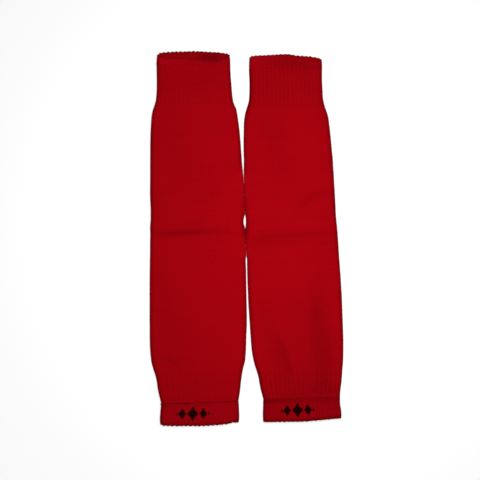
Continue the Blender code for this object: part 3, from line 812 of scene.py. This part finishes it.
def store_stitch_map(mesh, stretch, wales, along):
    """The maps Knit, in wales and courses, and Motif, the same from the motif's middle."""
    course = bpy.context.scene.sock_cloth.course_height / MM
    corners = np.empty(len(mesh.loops), dtype=np.int64)
    mesh.loops.foreach_get("vertex_index", corners)
    starts = np.empty(len(mesh.polygons), dtype=np.int64)
    counts = np.empty(len(mesh.polygons), dtype=np.int64)
    mesh.polygons.foreach_get("loop_start", starts)
    mesh.polygons.foreach_get("loop_total", counts)
    wale = wales[corners]
    largest = np.repeat(np.maximum.reduceat(wale, starts), counts)
    wale = np.where(largest - wale > WALES_AROUND / 2.0, wale + WALES_AROUND, wale)
    courses = along[corners] / course
    knit = mesh.uv_layers.new(name="Knit", do_init=False)
    knit.uv.foreach_set("vector", np.stack([wale, courses], axis=-1).astype(np.float32).ravel())
    across, down = stretch.sock.motif
    station = np.clip(down, stretch.first, stretch.last)
    left, right = stretch.value("left", station), stretch.value("right", station)
    height = stretch.value("height", station)
    whole = left + right - height + np.pi * height
    turn = (np.pi * height / 2.0 + right - height / 2.0 - across) / whole
    middle_wale, middle_course = round(float(turn) * FRONT_WALES), round(down / course)
    motif = mesh.uv_layers.new(name="Motif", do_init=False)
    offsets = np.stack([wale - middle_wale, courses - middle_course], axis=-1)
    motif.uv.foreach_set("vector", offsets.astype(np.float32).ravel())
    mesh.uv_layers.active = mesh.uv_layers["Knit"]


def add_node(tree, kind, inputs=None, **settings):
    """Adds a node. Its inputs are given by name or number.

    Each is a constant, one of another node's outputs, or a node, which stands for its first output.
    """
    node = tree.nodes.new(kind)
    for name, value in settings.items():
        setattr(node, name, value)
    for key, value in (inputs or {}).items():
        if isinstance(value, bpy.types.Node):
            value = value.outputs[0]
        if isinstance(value, bpy.types.NodeSocket):
            tree.links.new(value, node.inputs[key])
        else:
            node.inputs[key].default_value = value
    return node


def new_tree(name, sockets):
    """A Geometry Nodes tree with named inputs. Sockets are (name, type, default)."""
    tree = bpy.data.node_groups.new(name, "GeometryNodeTree")
    tree.interface.new_socket("Geometry", in_out="INPUT", socket_type="NodeSocketGeometry")
    for socket_name, socket_type, default in sockets:
        socket = tree.interface.new_socket(socket_name, in_out="INPUT", socket_type=socket_type)
        if default is not None:
            socket.default_value = default
    tree.interface.new_socket("Geometry", in_out="OUTPUT", socket_type="NodeSocketGeometry")
    return tree, tree.nodes.new("NodeGroupInput").outputs


def finish_tree(tree, geometry, material):
    """Ends a tree in plain geometry that stays on the table, with its material."""
    real = add_node(tree, "GeometryNodeRealizeInstances", {"Geometry": geometry})
    place = add_node(tree, "GeometryNodeInputPosition")
    above = add_node(tree, "ShaderNodeVectorMath", {0: place, 1: (-FAR, -FAR, 0.0)},
                     operation="MAXIMUM")
    laid = add_node(tree, "GeometryNodeSetPosition", {"Geometry": real, "Position": above})
    painted = add_node(tree, "GeometryNodeSetMaterial", {"Geometry": laid, "Material": material})
    add_node(tree, "NodeGroupOutput", {"Geometry": painted})


def rib_tree():
    """Presses the purl grooves, the valleys between wales and a soft unevenness into a wall."""
    tree, given = new_tree("Ribs and wales", (
        ("Rib Depth", "NodeSocketFloat", RIB_DEPTH),
        ("Groove Width", "NodeSocketFloat", GROOVE_WIDTH),
        ("Wale Relief", "NodeSocketFloat", WALE_RELIEF),
        ("Unevenness", "NodeSocketFloat", UNEVENNESS),
        ("Seed", "NodeSocketFloat", 0.0), ("Material", "NodeSocketMaterial", None)))
    wale, rib, skin = (
        add_node(tree, "GeometryNodeInputNamedAttribute", {"Name": name}).outputs["Attribute"]
        for name in ("wale", "rib", "skin"))
    half = RIB_WALES / 2.0
    from_groove = add_node(tree, "ShaderNodeMath", {0: wale, 1: half}, operation="SUBTRACT")
    wrapped = add_node(tree, "ShaderNodeMath", {0: from_groove, 1: half, 2: -half},
                       operation="WRAP")
    distance = add_node(tree, "ShaderNodeMath", {0: wrapped}, operation="ABSOLUTE")
    reach = add_node(tree, "ShaderNodeMath", {0: given["Groove Width"], 1: 0.5},
                     operation="MULTIPLY")
    groove = add_node(tree, "ShaderNodeMapRange",
                      {"Value": distance, "From Min": reach, "From Max": GROOVE_BOTTOM},
                      interpolation_type="SMOOTHSTEP")
    place = add_node(tree, "GeometryNodeInputPosition")
    worn, slack = (
        add_node(tree, "ShaderNodeTexNoise",
                 {"Vector": place, "W": given["Seed"], "Scale": scale, "Detail": detail},
                 noise_dimensions="4D")
        for scale, detail in ((WEAR_SCALE, 1.0), (SLACK_SCALE, 2.0)))
    worn_share = add_node(tree, "ShaderNodeMapRange",
                          {"Value": worn, "From Min": WEAR_LOW, "From Max": WEAR_HIGH,
                           "To Min": WORN_SHARE, "To Max": FRESH_SHARE})
    depth = groove
    for share in (rib, given["Rib Depth"], worn_share):
        depth = add_node(tree, "ShaderNodeMath", {0: depth, 1: share}, operation="MULTIPLY")
    turned = add_node(tree, "ShaderNodeMath", {0: wale, 1: math.pi}, operation="MULTIPLY")
    valley = add_node(tree, "ShaderNodeMath", {0: turned}, operation="SINE")
    valley = add_node(tree, "ShaderNodeMath", {0: valley, 1: 2.0}, operation="POWER")
    dip = add_node(tree, "ShaderNodeMath", {0: slack, 1: 0.5}, operation="SUBTRACT")
    for form, relief in ((valley, given["Wale Relief"]), (dip, given["Unevenness"])):
        depth = add_node(tree, "ShaderNodeMath", {0: form, 1: relief, 2: depth},
                         operation="MULTIPLY_ADD")
    for share in (skin, -1.0):
        depth = add_node(tree, "ShaderNodeMath", {0: depth, 1: share}, operation="MULTIPLY")
    normal = add_node(tree, "GeometryNodeInputNormal")
    offset = add_node(tree, "ShaderNodeVectorMath", {0: normal, "Scale": depth}, operation="SCALE")
    pressed = add_node(tree, "GeometryNodeSetPosition",
                       {"Geometry": given["Geometry"], "Offset": offset})
    finish_tree(tree, pressed, given["Material"])
    return tree


def linking_tree():
    """Short dark stitches along a seam, wherever its attribute run says that the yarn shows."""
    tree, given = new_tree("Linking stitches", (
        ("Spacing", "NodeSocketFloat", LINKING_SPACING),
        ("Thickness", "NodeSocketFloat", LINKING_THICKNESS),
        ("Seed", "NodeSocketInt", 0), ("Material", "NodeSocketMaterial", None)))
    seam = add_node(tree, "GeometryNodeMeshToCurve", {"Mesh": given["Geometry"]})
    spaced = add_node(tree, "GeometryNodeResampleCurve",
                      {"Curve": seam, "Length": given["Spacing"]}, mode="LENGTH")
    stitch = add_node(tree, "GeometryNodeMeshUVSphere", {"Segments": 8, "Rings": 5, "Radius": 0.5})
    tangent = add_node(tree, "GeometryNodeInputTangent")
    lie = add_node(tree, "FunctionNodeAlignRotationToVector", {"Vector": tangent}, axis="X")
    run = add_node(tree, "GeometryNodeInputNamedAttribute", {"Name": "run"}).outputs["Attribute"]
    shown = add_node(tree, "FunctionNodeCompare", {0: run, 1: LEAST_RUN}, data_type="FLOAT",
                     operation="GREATER_THAN")
    length, girth = (
        add_node(tree, "FunctionNodeRandomValue", {2: low, 3: high, "Seed": given["Seed"]},
                 data_type="FLOAT").outputs[1]
        for low, high in (LINKING_LENGTHS, LINKING_GIRTHS))
    shape = add_node(tree, "ShaderNodeCombineXYZ", {"X": length, "Y": girth, "Z": girth})
    size = add_node(tree, "ShaderNodeMath", {0: given["Thickness"], 1: run}, operation="MULTIPLY")
    size = add_node(tree, "ShaderNodeVectorMath", {0: shape, "Scale": size}, operation="SCALE")
    row = add_node(tree, "GeometryNodeInstanceOnPoints",
                   {"Points": spaced, "Selection": shown, "Instance": stitch, "Rotation": lie,
                    "Scale": size})
    smooth = add_node(tree, "GeometryNodeSetShadeSmooth", {"Geometry": row})
    finish_tree(tree, smooth, given["Material"])
    return tree


def rim_tree():
    """A row of yarn loops along a turned edge, one for each wale."""
    tree, given = new_tree("Rim loops", (
        ("Loop Radius", "NodeSocketFloat", LOOP_RADIUS),
        ("Yarn Radius", "NodeSocketFloat", YARN_RADIUS),
        ("Seed", "NodeSocketInt", 0), ("Material", "NodeSocketMaterial", None)))
    rim = add_node(tree, "GeometryNodeMeshToCurve", {"Mesh": given["Geometry"]})
    arc = add_node(tree, "GeometryNodeCurveArc",
                   {"Resolution": 7, "Radius": given["Loop Radius"], "Sweep Angle": math.pi},
                   mode="RADIUS")
    yarn = add_node(tree, "GeometryNodeCurvePrimitiveCircle",
                    {"Resolution": 6, "Radius": given["Yarn Radius"]}, mode="RADIUS")
    loop = add_node(tree, "GeometryNodeCurveToMesh",
                    {"Curve": arc, "Profile Curve": yarn, "Fill Caps": True})
    tangent = add_node(tree, "GeometryNodeInputTangent")
    outward = add_node(tree, "GeometryNodeInputNamedAttribute", {"Name": "outward"},
                       data_type="FLOAT_VECTOR").outputs["Attribute"]
    lie = add_node(tree, "FunctionNodeAxesToRotation",
                   {"Primary Axis": outward, "Secondary Axis": tangent},
                   primary_axis="Y", secondary_axis="X")
    low, high = LOOP_SIZES
    size = add_node(tree, "FunctionNodeRandomValue", {2: low, 3: high, "Seed": given["Seed"]},
                    data_type="FLOAT")
    row = add_node(tree, "GeometryNodeInstanceOnPoints",
                   {"Points": rim, "Instance": loop, "Rotation": lie, "Scale": size.outputs[1]})
    smooth = add_node(tree, "GeometryNodeSetShadeSmooth", {"Geometry": row})
    finish_tree(tree, smooth, given["Material"])
    return tree


def run_tree(piece, tree, values):
    """Runs a tree on a piece and leaves the piece with the plain mesh that it gives."""
    modifier = piece.modifiers.new(tree.name, "NODES")
    modifier.node_group = tree
    for item in tree.interface.items_tree:
        if item.item_type == "SOCKET" and item.in_out == "INPUT" and item.name in values:
            modifier[item.identifier] = values[item.name]
    depsgraph = bpy.context.evaluated_depsgraph_get()
    made = bpy.data.meshes.new_from_object(
        piece.evaluated_get(depsgraph), preserve_all_data_layers=True, depsgraph=depsgraph)
    piece.modifiers.clear()
    before = piece.data
    piece.data = made
    bpy.data.meshes.remove(before)
    made.name = piece.name


def new_material(name):
    """A material and its node tree, still empty."""
    material = bpy.data.materials.new(name)
    material.use_nodes = True
    material.node_tree.nodes.clear()
    return material, material.node_tree


def stitch_places(tree, map_name):
    """Where a point lies in its stitch, from a map in wales and courses.

    Gives its wale, its course, the whole wale, how far it is beside that wale's middle, and its
    course once this follows the V of the stitch.
    """
    stitch_map = add_node(tree, "ShaderNodeUVMap", uv_map=map_name)
    stitch = add_node(tree, "ShaderNodeSeparateXYZ", {0: stitch_map})
    wale, course = stitch.outputs["X"], stitch.outputs["Y"]
    whole = add_node(tree, "ShaderNodeMath", {0: wale}, operation="ROUND")
    beside = add_node(tree, "ShaderNodeMath", {0: wale, 1: whole}, operation="SUBTRACT")
    beside = add_node(tree, "ShaderNodeMath", {0: beside}, operation="ABSOLUTE")
    slanted = add_node(tree, "ShaderNodeMath", {0: beside, 1: STITCH_SLANT, 2: course},
                       operation="MULTIPLY_ADD")
    return wale, course, whole, beside, slanted


def knit_material(name, colour, motif_colour=None):
    """Matt brushed acrylic sports knit.

    Each stitch is a V of two plump legs, with painted shade in the valleys between them and its
    legs a little lighter, so the cloth looks soft and grainy from near and even from far. It has no
    gloss, only a faint red nap.
    """
    material, tree = new_material(name)
    wale, course, _, beside, slanted = stitch_places(tree, "Knit")
    leg, column = slanted, beside
    for operation, operand in (("MULTIPLY", math.pi), ("SINE", 0.0), ("ABSOLUTE", 0.0),
                               ("MULTIPLY", LEG_RELIEF), ("ADD", 1.0 - LEG_RELIEF)):
        leg = add_node(tree, "ShaderNodeMath", {0: leg, 1: operand}, operation=operation)
    for operation, operand in (("MULTIPLY", 2.0 * math.pi), ("SINE", 0.0), ("MAXIMUM", 0.0),
                               ("POWER", COLUMN_POWER)):
        column = add_node(tree, "ShaderNodeMath", {0: column, 1: operand}, operation=operation)
    stitch = add_node(tree, "ShaderNodeMath", {0: leg, 1: column}, operation="MULTIPLY")
    place = add_node(tree, "ShaderNodeTexCoord").outputs["Object"]
    fibres = add_node(tree, "ShaderNodeTexNoise",
                      {"Vector": place, "Scale": FIBRE_SCALE, "Detail": 3.0, "Roughness": 0.6})
    heather = add_node(tree, "ShaderNodeTexNoise",
                       {"Vector": place, "Scale": HEATHER_SCALE, "Detail": 2.0})
    cloudy = add_node(tree, "ShaderNodeTexNoise",
                      {"Vector": place, "Scale": CLOUD_SCALE, "Detail": 3.0})
    row = add_node(tree, "ShaderNodeMath", {0: course}, operation="FLOOR")
    row_tone = add_node(tree, "ShaderNodeTexWhiteNoise", {"W": row}, noise_dimensions="1D")
    height = add_node(tree, "ShaderNodeMath", {0: fibres, 1: FIBRE_RELIEF, 2: stitch},
                      operation="MULTIPLY_ADD")
    bump = add_node(tree, "ShaderNodeBump",
                    {"Strength": KNIT_BUMP, "Height": height,
                     "Distance": bpy.context.scene.sock_cloth.stitch_relief})
    low, high = STITCH_PAINTED_SHADE_TONES
    tone = add_node(tree, "ShaderNodeMapRange", {"Value": stitch, "To Min": low, "To Max": high})
    for pattern, (low, high) in ((heather, HEATHER_TONES), (cloudy, CLOUD_TONES),
                                 (row_tone, ROW_TONES), (fibres, FIBRE_TONES)):
        share = add_node(tree, "ShaderNodeMapRange",
                         {"Value": pattern, "From Min": NOISE_LOW, "From Max": NOISE_HIGH,
                          "To Min": low, "To Max": high})
        tone = add_node(tree, "ShaderNodeMath", {0: tone, 1: share}, operation="MULTIPLY")
    # Painted shade: the purl grooves between ribs, and the shade stored on the cloth, darken its
    # colour
    rib, shade = (add_node(tree, "ShaderNodeAttribute", attribute_name=attribute).outputs["Fac"]
                  for attribute in ("rib", "shade"))
    turned = add_node(tree, "ShaderNodeMath", {0: wale, 1: 2.0 * math.pi / RIB_WALES},
                      operation="MULTIPLY")
    ridge = add_node(tree, "ShaderNodeMath", {0: turned}, operation="COSINE")
    groove = add_node(tree, "ShaderNodeMapRange",
                      {"Value": ridge, "From Min": -1.0, "To Min": GROOVE_PAINTED_SHADE, "To Max": 0.0})
    loss = add_node(tree, "ShaderNodeMath", {0: groove, 1: rib, 2: shade}, operation="MULTIPLY_ADD")
    painted_light = add_node(tree, "ShaderNodeMath", {0: 1.0, 1: loss}, operation="SUBTRACT")
    tone = add_node(tree, "ShaderNodeMath", {0: tone, 1: painted_light}, operation="MULTIPLY")
    shaded = add_node(tree, "ShaderNodeVectorMath", {0: colour, "Scale": tone}, operation="SCALE")
    if motif_colour is not None:
        mask = motif_mask(tree)
        yarn = add_node(tree, "ShaderNodeMix",
                        {"Factor": mask, "A": (*colour, 1.0), "B": (*motif_colour, 1.0)},
                        data_type="RGBA")
        tree.links.new(yarn.outputs["Result"], shaded.inputs[0])
    shader = add_node(tree, "ShaderNodeBsdfPrincipled",
                      {"Base Color": shaded, "Roughness": YARN_ROUGHNESS,
                       "Specular IOR Level": YARN_GLOSS, "Specular Tint": NAP_TINT,
                       "Sheen Weight": NAP_SHEEN, "Sheen Roughness": NAP_ROUGHNESS,
                       "Sheen Tint": NAP_TINT, "Normal": bump})
    add_node(tree, "ShaderNodeOutputMaterial", {"Surface": shader})
    return material


def motif_mask(tree):
    """1 inside the lozenges, 0 outside. Their steps follow the V of each stitch."""
    _, _, whole, _, slanted = stitch_places(tree, "Motif")
    course = add_node(tree, "ShaderNodeMath", {0: slanted}, operation="FLOOR")
    up = add_node(tree, "ShaderNodeMath", {0: course}, operation="ABSOLUTE")
    mask = 0.0
    for middle, half_width, half_height in LOZENGES:
        away = add_node(tree, "ShaderNodeMath", {0: whole, 1: middle}, operation="SUBTRACT")
        away = add_node(tree, "ShaderNodeMath", {0: away}, operation="ABSOLUTE")
        wide = add_node(tree, "ShaderNodeMath", {0: away, 1: half_width}, operation="DIVIDE")
        spread = add_node(tree, "ShaderNodeMath", {0: up, 1: 1.0 / half_height, 2: wide},
                          operation="MULTIPLY_ADD")
        inside = add_node(tree, "ShaderNodeMath", {0: spread, 1: 1.0}, operation="LESS_THAN")
        mask = add_node(tree, "ShaderNodeMath", {0: mask, 1: inside}, operation="MAXIMUM")
    return mask


def yarn_material(name, colour):
    """Plain spun acrylic yarn, matt and a little uneven in tone along its length."""
    material, tree = new_material(name)
    place = add_node(tree, "ShaderNodeTexCoord").outputs["Object"]
    fibres = add_node(tree, "ShaderNodeTexNoise",
                      {"Vector": place, "Scale": FIBRE_SCALE, "Detail": 3.0})
    low, high = YARN_TONES
    tone = add_node(tree, "ShaderNodeMapRange",
                    {"Value": fibres, "From Min": NOISE_LOW, "From Max": NOISE_HIGH, "To Min": low,
                     "To Max": high})
    shaded = add_node(tree, "ShaderNodeVectorMath", {0: colour, "Scale": tone}, operation="SCALE")
    bump = add_node(tree, "ShaderNodeBump",
                    {"Strength": YARN_BUMP, "Distance": YARN_RELIEF, "Height": fibres})
    shader = add_node(tree, "ShaderNodeBsdfPrincipled",
                      {"Base Color": shaded, "Roughness": YARN_ROUGHNESS,
                       "Specular IOR Level": YARN_GLOSS, "Specular Tint": NAP_TINT, "Normal": bump})
    add_node(tree, "ShaderNodeOutputMaterial", {"Surface": shader})
    return material


def knit_stretch(stretch, upper_end, lower_end, material, seed):
    """Builds one stretch of cloth, ribs it, and hands it to the frame in place of its solid."""
    cloth = bpy.context.scene.sock_cloth
    piece = build_wall(stretch, upper_end, lower_end)
    run_tree(piece, rib_tree(), {
        "Rib Depth": cloth.rib_depth, "Groove Width": cloth.groove_width,
        "Wale Relief": cloth.wale_relief, "Unevenness": cloth.unevenness, "Seed": seed,
        "Material": material})
    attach(piece, BODY)
    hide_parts(stretch.name)
    flat_size(stretch)


def flat_size(stretch):
    """The flat size of a tube, its mean way all round by its length, in metres."""
    stations = np.linspace(stretch.first, stretch.last, FLAT_STATIONS)
    height = stretch.value("height", stations)
    flat = stretch.value("left", stations) + stretch.value("right", stations) - height
    around = float(np.mean(2.0 * flat + np.pi * height))
    return (around * MM, (stretch.last - stretch.first) * MM)


class MESH_OT_sock_legs(bpy.types.Operator):
    """Knits the two legs, each with its rib cuff and its ankle rib"""

    bl_idname = "mesh.sock_legs"
    bl_label = "Legs"

    def execute(self, context):
        material = knit_material("acrylic_plain_and_rib_knit",
                                 tuple(context.scene.sock_cloth.leg_colour))
        for number, sock in enumerate(SOCKS):
            stretch = Stretch(sock, "leg", "top_seam", "ankle_seam")
            knit_stretch(stretch, TOP_SEAM, ANKLE_SEAM, material, LEG_SEED + number)
        return {"FINISHED"}


class MESH_OT_sock_top_welts(bpy.types.Operator):
    """Knits the doubled bands at the mouths"""

    bl_idname = "mesh.sock_top_welts"
    bl_label = "Top Welts"

    def execute(self, context):
        material = knit_material("acrylic_doubled_welt_knit",
                                 tuple(context.scene.sock_cloth.welt_colour))
        for number, sock in enumerate(SOCKS):
            stretch = Stretch(sock, "top_welt", "rim", "top_seam")
            knit_stretch(stretch, RIM, TOP_SEAM, material, TOP_WELT_SEED + number)
        return {"FINISHED"}


class MESH_OT_sock_ankle_welts(bpy.types.Operator):
    """Knits the doubled bands at the ankles, with a row of dark lozenges in each"""

    bl_idname = "mesh.sock_ankle_welts"
    bl_label = "Ankle Welts"

    def execute(self, context):
        cloth = context.scene.sock_cloth
        material = knit_material("acrylic_doubled_welt_knit_with_motif", tuple(cloth.welt_colour),
                                 tuple(cloth.motif_colour))
        for number, sock in enumerate(SOCKS):
            stretch = Stretch(sock, "ankle_welt", "ankle_seam", "hem")
            knit_stretch(stretch, ANKLE_SEAM, HEM, material, ANKLE_WELT_SEED + number)
        return {"FINISHED"}


def ring_path(name, stretch, row, turns, lowest, attribute, values):
    """A line around a stretch as a mesh of edges, with a value at each turn.

    It closes on itself unless its turns begin at the back.
    """
    points = stretch.points([row], turns)[0][0]
    points[:, 2] = np.maximum(points[:, 2], lowest * MM)
    count = len(points)
    edges = [(i, (i + 1) % count) for i in range(count if turns[0] < 1.0 else count - 1)]
    mesh = bpy.data.meshes.new(name)
    mesh.from_pydata(points.tolist(), edges, [])
    kind, field = ("FLOAT", "value") if values.ndim == 1 else ("FLOAT_VECTOR", "vector")
    mesh.attributes.new(attribute, kind, "POINT").data.foreach_set(field, values.ravel())
    piece = bpy.data.objects.new(name, mesh)
    bpy.context.scene.collection.objects.link(piece)
    return piece


def run_strengths(stretch, turns):
    """How strongly the linking yarn shows at each turn. The back repeats the front, mirrored."""
    station = np.full(len(turns), stretch.last)
    left, right = stretch.value("left", station), stretch.value("right", station)
    turns = np.array(turns)
    across = np.where(turns <= 1.0, right - turns * (left + right),
                      left - (turns - 1.0) * (left + right))
    strengths = np.zeros(len(turns))
    for run in stretch.sock.runs:
        strengths[(across > run.from_across) & (across < run.to_across)] = run.strength
    return strengths


class MESH_OT_sock_linking_stitches(bpy.types.Operator):
    """Links the ankle welts to the ankle ribs with dark yarn"""

    bl_idname = "mesh.sock_linking_stitches"
    bl_label = "Linking Stitches"

    def execute(self, context):
        cloth = context.scene.sock_cloth
        material = yarn_material("spun_acrylic_linking_yarn", tuple(cloth.linking_colour))
        turns = even_turns(FRONT_WALES, UNDER_WALES)
        for number, sock in enumerate(SOCKS):
            stretch = Stretch(sock, "leg", "top_seam", "ankle_seam")
            row = Row(stretch.last, LINKING_SHIFT, -LINKING_LIFT)
            piece = ring_path(f"{sock.name}_linking_stitches", stretch, row, turns,
                              cloth.linking_thickness / MM / 2.0, "run",
                              run_strengths(stretch, turns))
            run_tree(piece, linking_tree(), {
                "Spacing": cloth.linking_spacing, "Thickness": cloth.linking_thickness,
                "Seed": LINKING_SEED + number, "Material": material})
            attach(piece, BODY)
        return {"FINISHED"}


class MESH_OT_sock_rim_loops(bpy.types.Operator):
    """Sets the yarn loops that show along the turned rims and hems"""

    bl_idname = "mesh.sock_rim_loops"
    bl_label = "Rim Loops"

    def execute(self, context):
        cloth = context.scene.sock_cloth
        material = yarn_material("spun_acrylic_loop_yarn", tuple(cloth.welt_colour))
        turns = even_turns(FRONT_WALES, UNDER_WALES)
        back = [turn for turn in turns if turn >= 1.0]
        for number, sock in enumerate(SOCKS):
            tilt = math.radians(sock.tilt)
            up_the_sock = np.array([-math.sin(tilt), math.cos(tilt), 0.0])
            top_welt = Stretch(sock, "top_welt", "rim", "top_seam")
            ankle_welt = Stretch(sock, "ankle_welt", "ankle_seam", "hem")
            for name, stretch, station, outward, roll, where in (
                    ("rim", top_welt, top_welt.first, 1.0, RIM, back),
                    ("hem", ankle_welt, ankle_welt.last, -1.0, HEM, turns)):
                row = Row(station, outward * LOOP_SINK, 0.0, roll.share * stretch.wall(station),
                          outward * roll.scallop)
                piece = ring_path(f"{sock.name}_{name}_loops", stretch, row, where, 0.0, "outward",
                                  np.tile(outward * up_the_sock, (len(where), 1)))
                run_tree(piece, rim_tree(), {
                    "Loop Radius": cloth.loop_radius, "Yarn Radius": cloth.yarn_radius,
                    "Seed": number, "Material": material})
                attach(piece, BODY)
        return {"FINISHED"}


def add_lamp(name, place, aim, side, power):
    """A soft square lamp that faces its aim and doesn't show in the picture."""
    lamp = bpy.data.lights.new(name, "AREA")
    lamp.shape = "SQUARE"
    lamp.size = side
    lamp.energy = power
    holder = bpy.data.objects.new(name, lamp)
    holder.location = place
    direction = np.array(aim) - np.array(place)
    flat = math.hypot(direction[0], direction[1])
    holder.rotation_euler = (math.atan2(flat, -direction[2]), 0.0,
                             math.atan2(-direction[0], direction[1]) if flat else 0.0)
    holder.visible_camera = False
    bpy.context.scene.collection.objects.link(holder)


class SCENE_OT_sock_stage(bpy.types.Operator):
    """Sets the pale table, the soft lamps and the camera straight above"""

    bl_idname = "scene.sock_stage"
    bl_label = "Table, Lamps and Camera"

    def execute(self, context):
        scene = context.scene
        stage = scene.sock_stage
        bpy.ops.mesh.primitive_plane_add(size=TABLE_SIDE)
        floor = context.active_object
        floor.name = "pale_table"
        floor.location = (0.0, 0.0, -TABLE_DROP)
        material = bpy.data.materials.new("matt_white_table")
        material.use_nodes = True
        shader = material.node_tree.nodes["Principled BSDF"]
        shader.inputs["Base Color"].default_value = (*stage.floor_colour, 1.0)
        shader.inputs["Roughness"].default_value = TABLE_ROUGHNESS
        shader.inputs["Specular IOR Level"].default_value = 0.0
        shader.inputs["Emission Color"].default_value = WHITE
        shader.inputs["Emission Strength"].default_value = stage.floor_glow
        floor.data.materials.append(material)
        floor.visible_diffuse = False
        add_lamp("overhead_lamp", *OVERHEAD_LAMP, stage.overhead_power)
        add_lamp("front_lamp", *FRONT_LAMP, stage.front_power)
        world = bpy.data.worlds.new("soft_room")
        world.use_nodes = True
        background = world.node_tree.nodes["Background"]
        background.inputs["Color"].default_value = WHITE
        background.inputs["Strength"].default_value = stage.ambient
        scene.world = world
        camera = bpy.data.cameras.new("camera_above")
        camera.lens = stage.focal_length
        camera.dof.use_dof = False
        pixel = PAIR_LENGTH / PAIR_LENGTH_PIXELS * MM
        view_side = PHOTO_SIDE * pixel
        half = PHOTO_SIDE / 2.0
        holder = bpy.data.objects.new("camera_above", camera)
        holder.location = ((half - PHOTO_MIDDLE[0]) * pixel, (PHOTO_MIDDLE[1] - half) * pixel,
                           view_side * camera.lens / camera.sensor_width + SCALE_HEIGHT * MM)
        scene.collection.objects.link(holder)
        scene.camera = holder
        scene.view_settings.view_transform = "Standard"
        return {"FINISHED"}


class VIEW3D_PT_knee_socks(bpy.types.Panel):
    """Lists the sizes, the colours and the pieces of the pair"""

    bl_idname = "VIEW3D_PT_knee_socks"
    bl_label = "Knee Socks"
    bl_space_type = "VIEW_3D"
    bl_region_type = "UI"
    bl_category = "Socks"

    def draw(self, context):
        for settings in (context.scene.sock_cloth, context.scene.sock_stage):
            box = self.layout.box()
            for name in settings.__annotations__:
                box.prop(settings, name)
        for operator in OPERATORS:
            self.layout.operator(operator.bl_idname)


OPERATORS = (
    SCENE_OT_sock_stage,
    MESH_OT_sock_linking_stitches,
    MESH_OT_sock_rim_loops,
    MESH_OT_sock_legs,
    MESH_OT_sock_top_welts,
    MESH_OT_sock_ankle_welts,
)
CLASSES = (ClothSettings, StageSettings, *OPERATORS, VIEW3D_PT_knee_socks)


def register():
    for item in CLASSES:
        bpy.utils.register_class(item)
    bpy.types.Scene.sock_cloth = bpy.props.PointerProperty(type=ClothSettings)
    bpy.types.Scene.sock_stage = bpy.props.PointerProperty(type=StageSettings)


def unregister():
    del bpy.types.Scene.sock_stage
    del bpy.types.Scene.sock_cloth
    for item in reversed(CLASSES):
        bpy.utils.unregister_class(item)


def main():
    register()
    bpy.ops.scene.sock_stage()
    bpy.ops.mesh.sock_linking_stitches()
    bpy.ops.mesh.sock_rim_loops()
    bpy.ops.mesh.sock_legs()
    bpy.ops.mesh.sock_top_welts()
    bpy.ops.mesh.sock_ankle_welts()


if __name__ == "__main__":
    main()
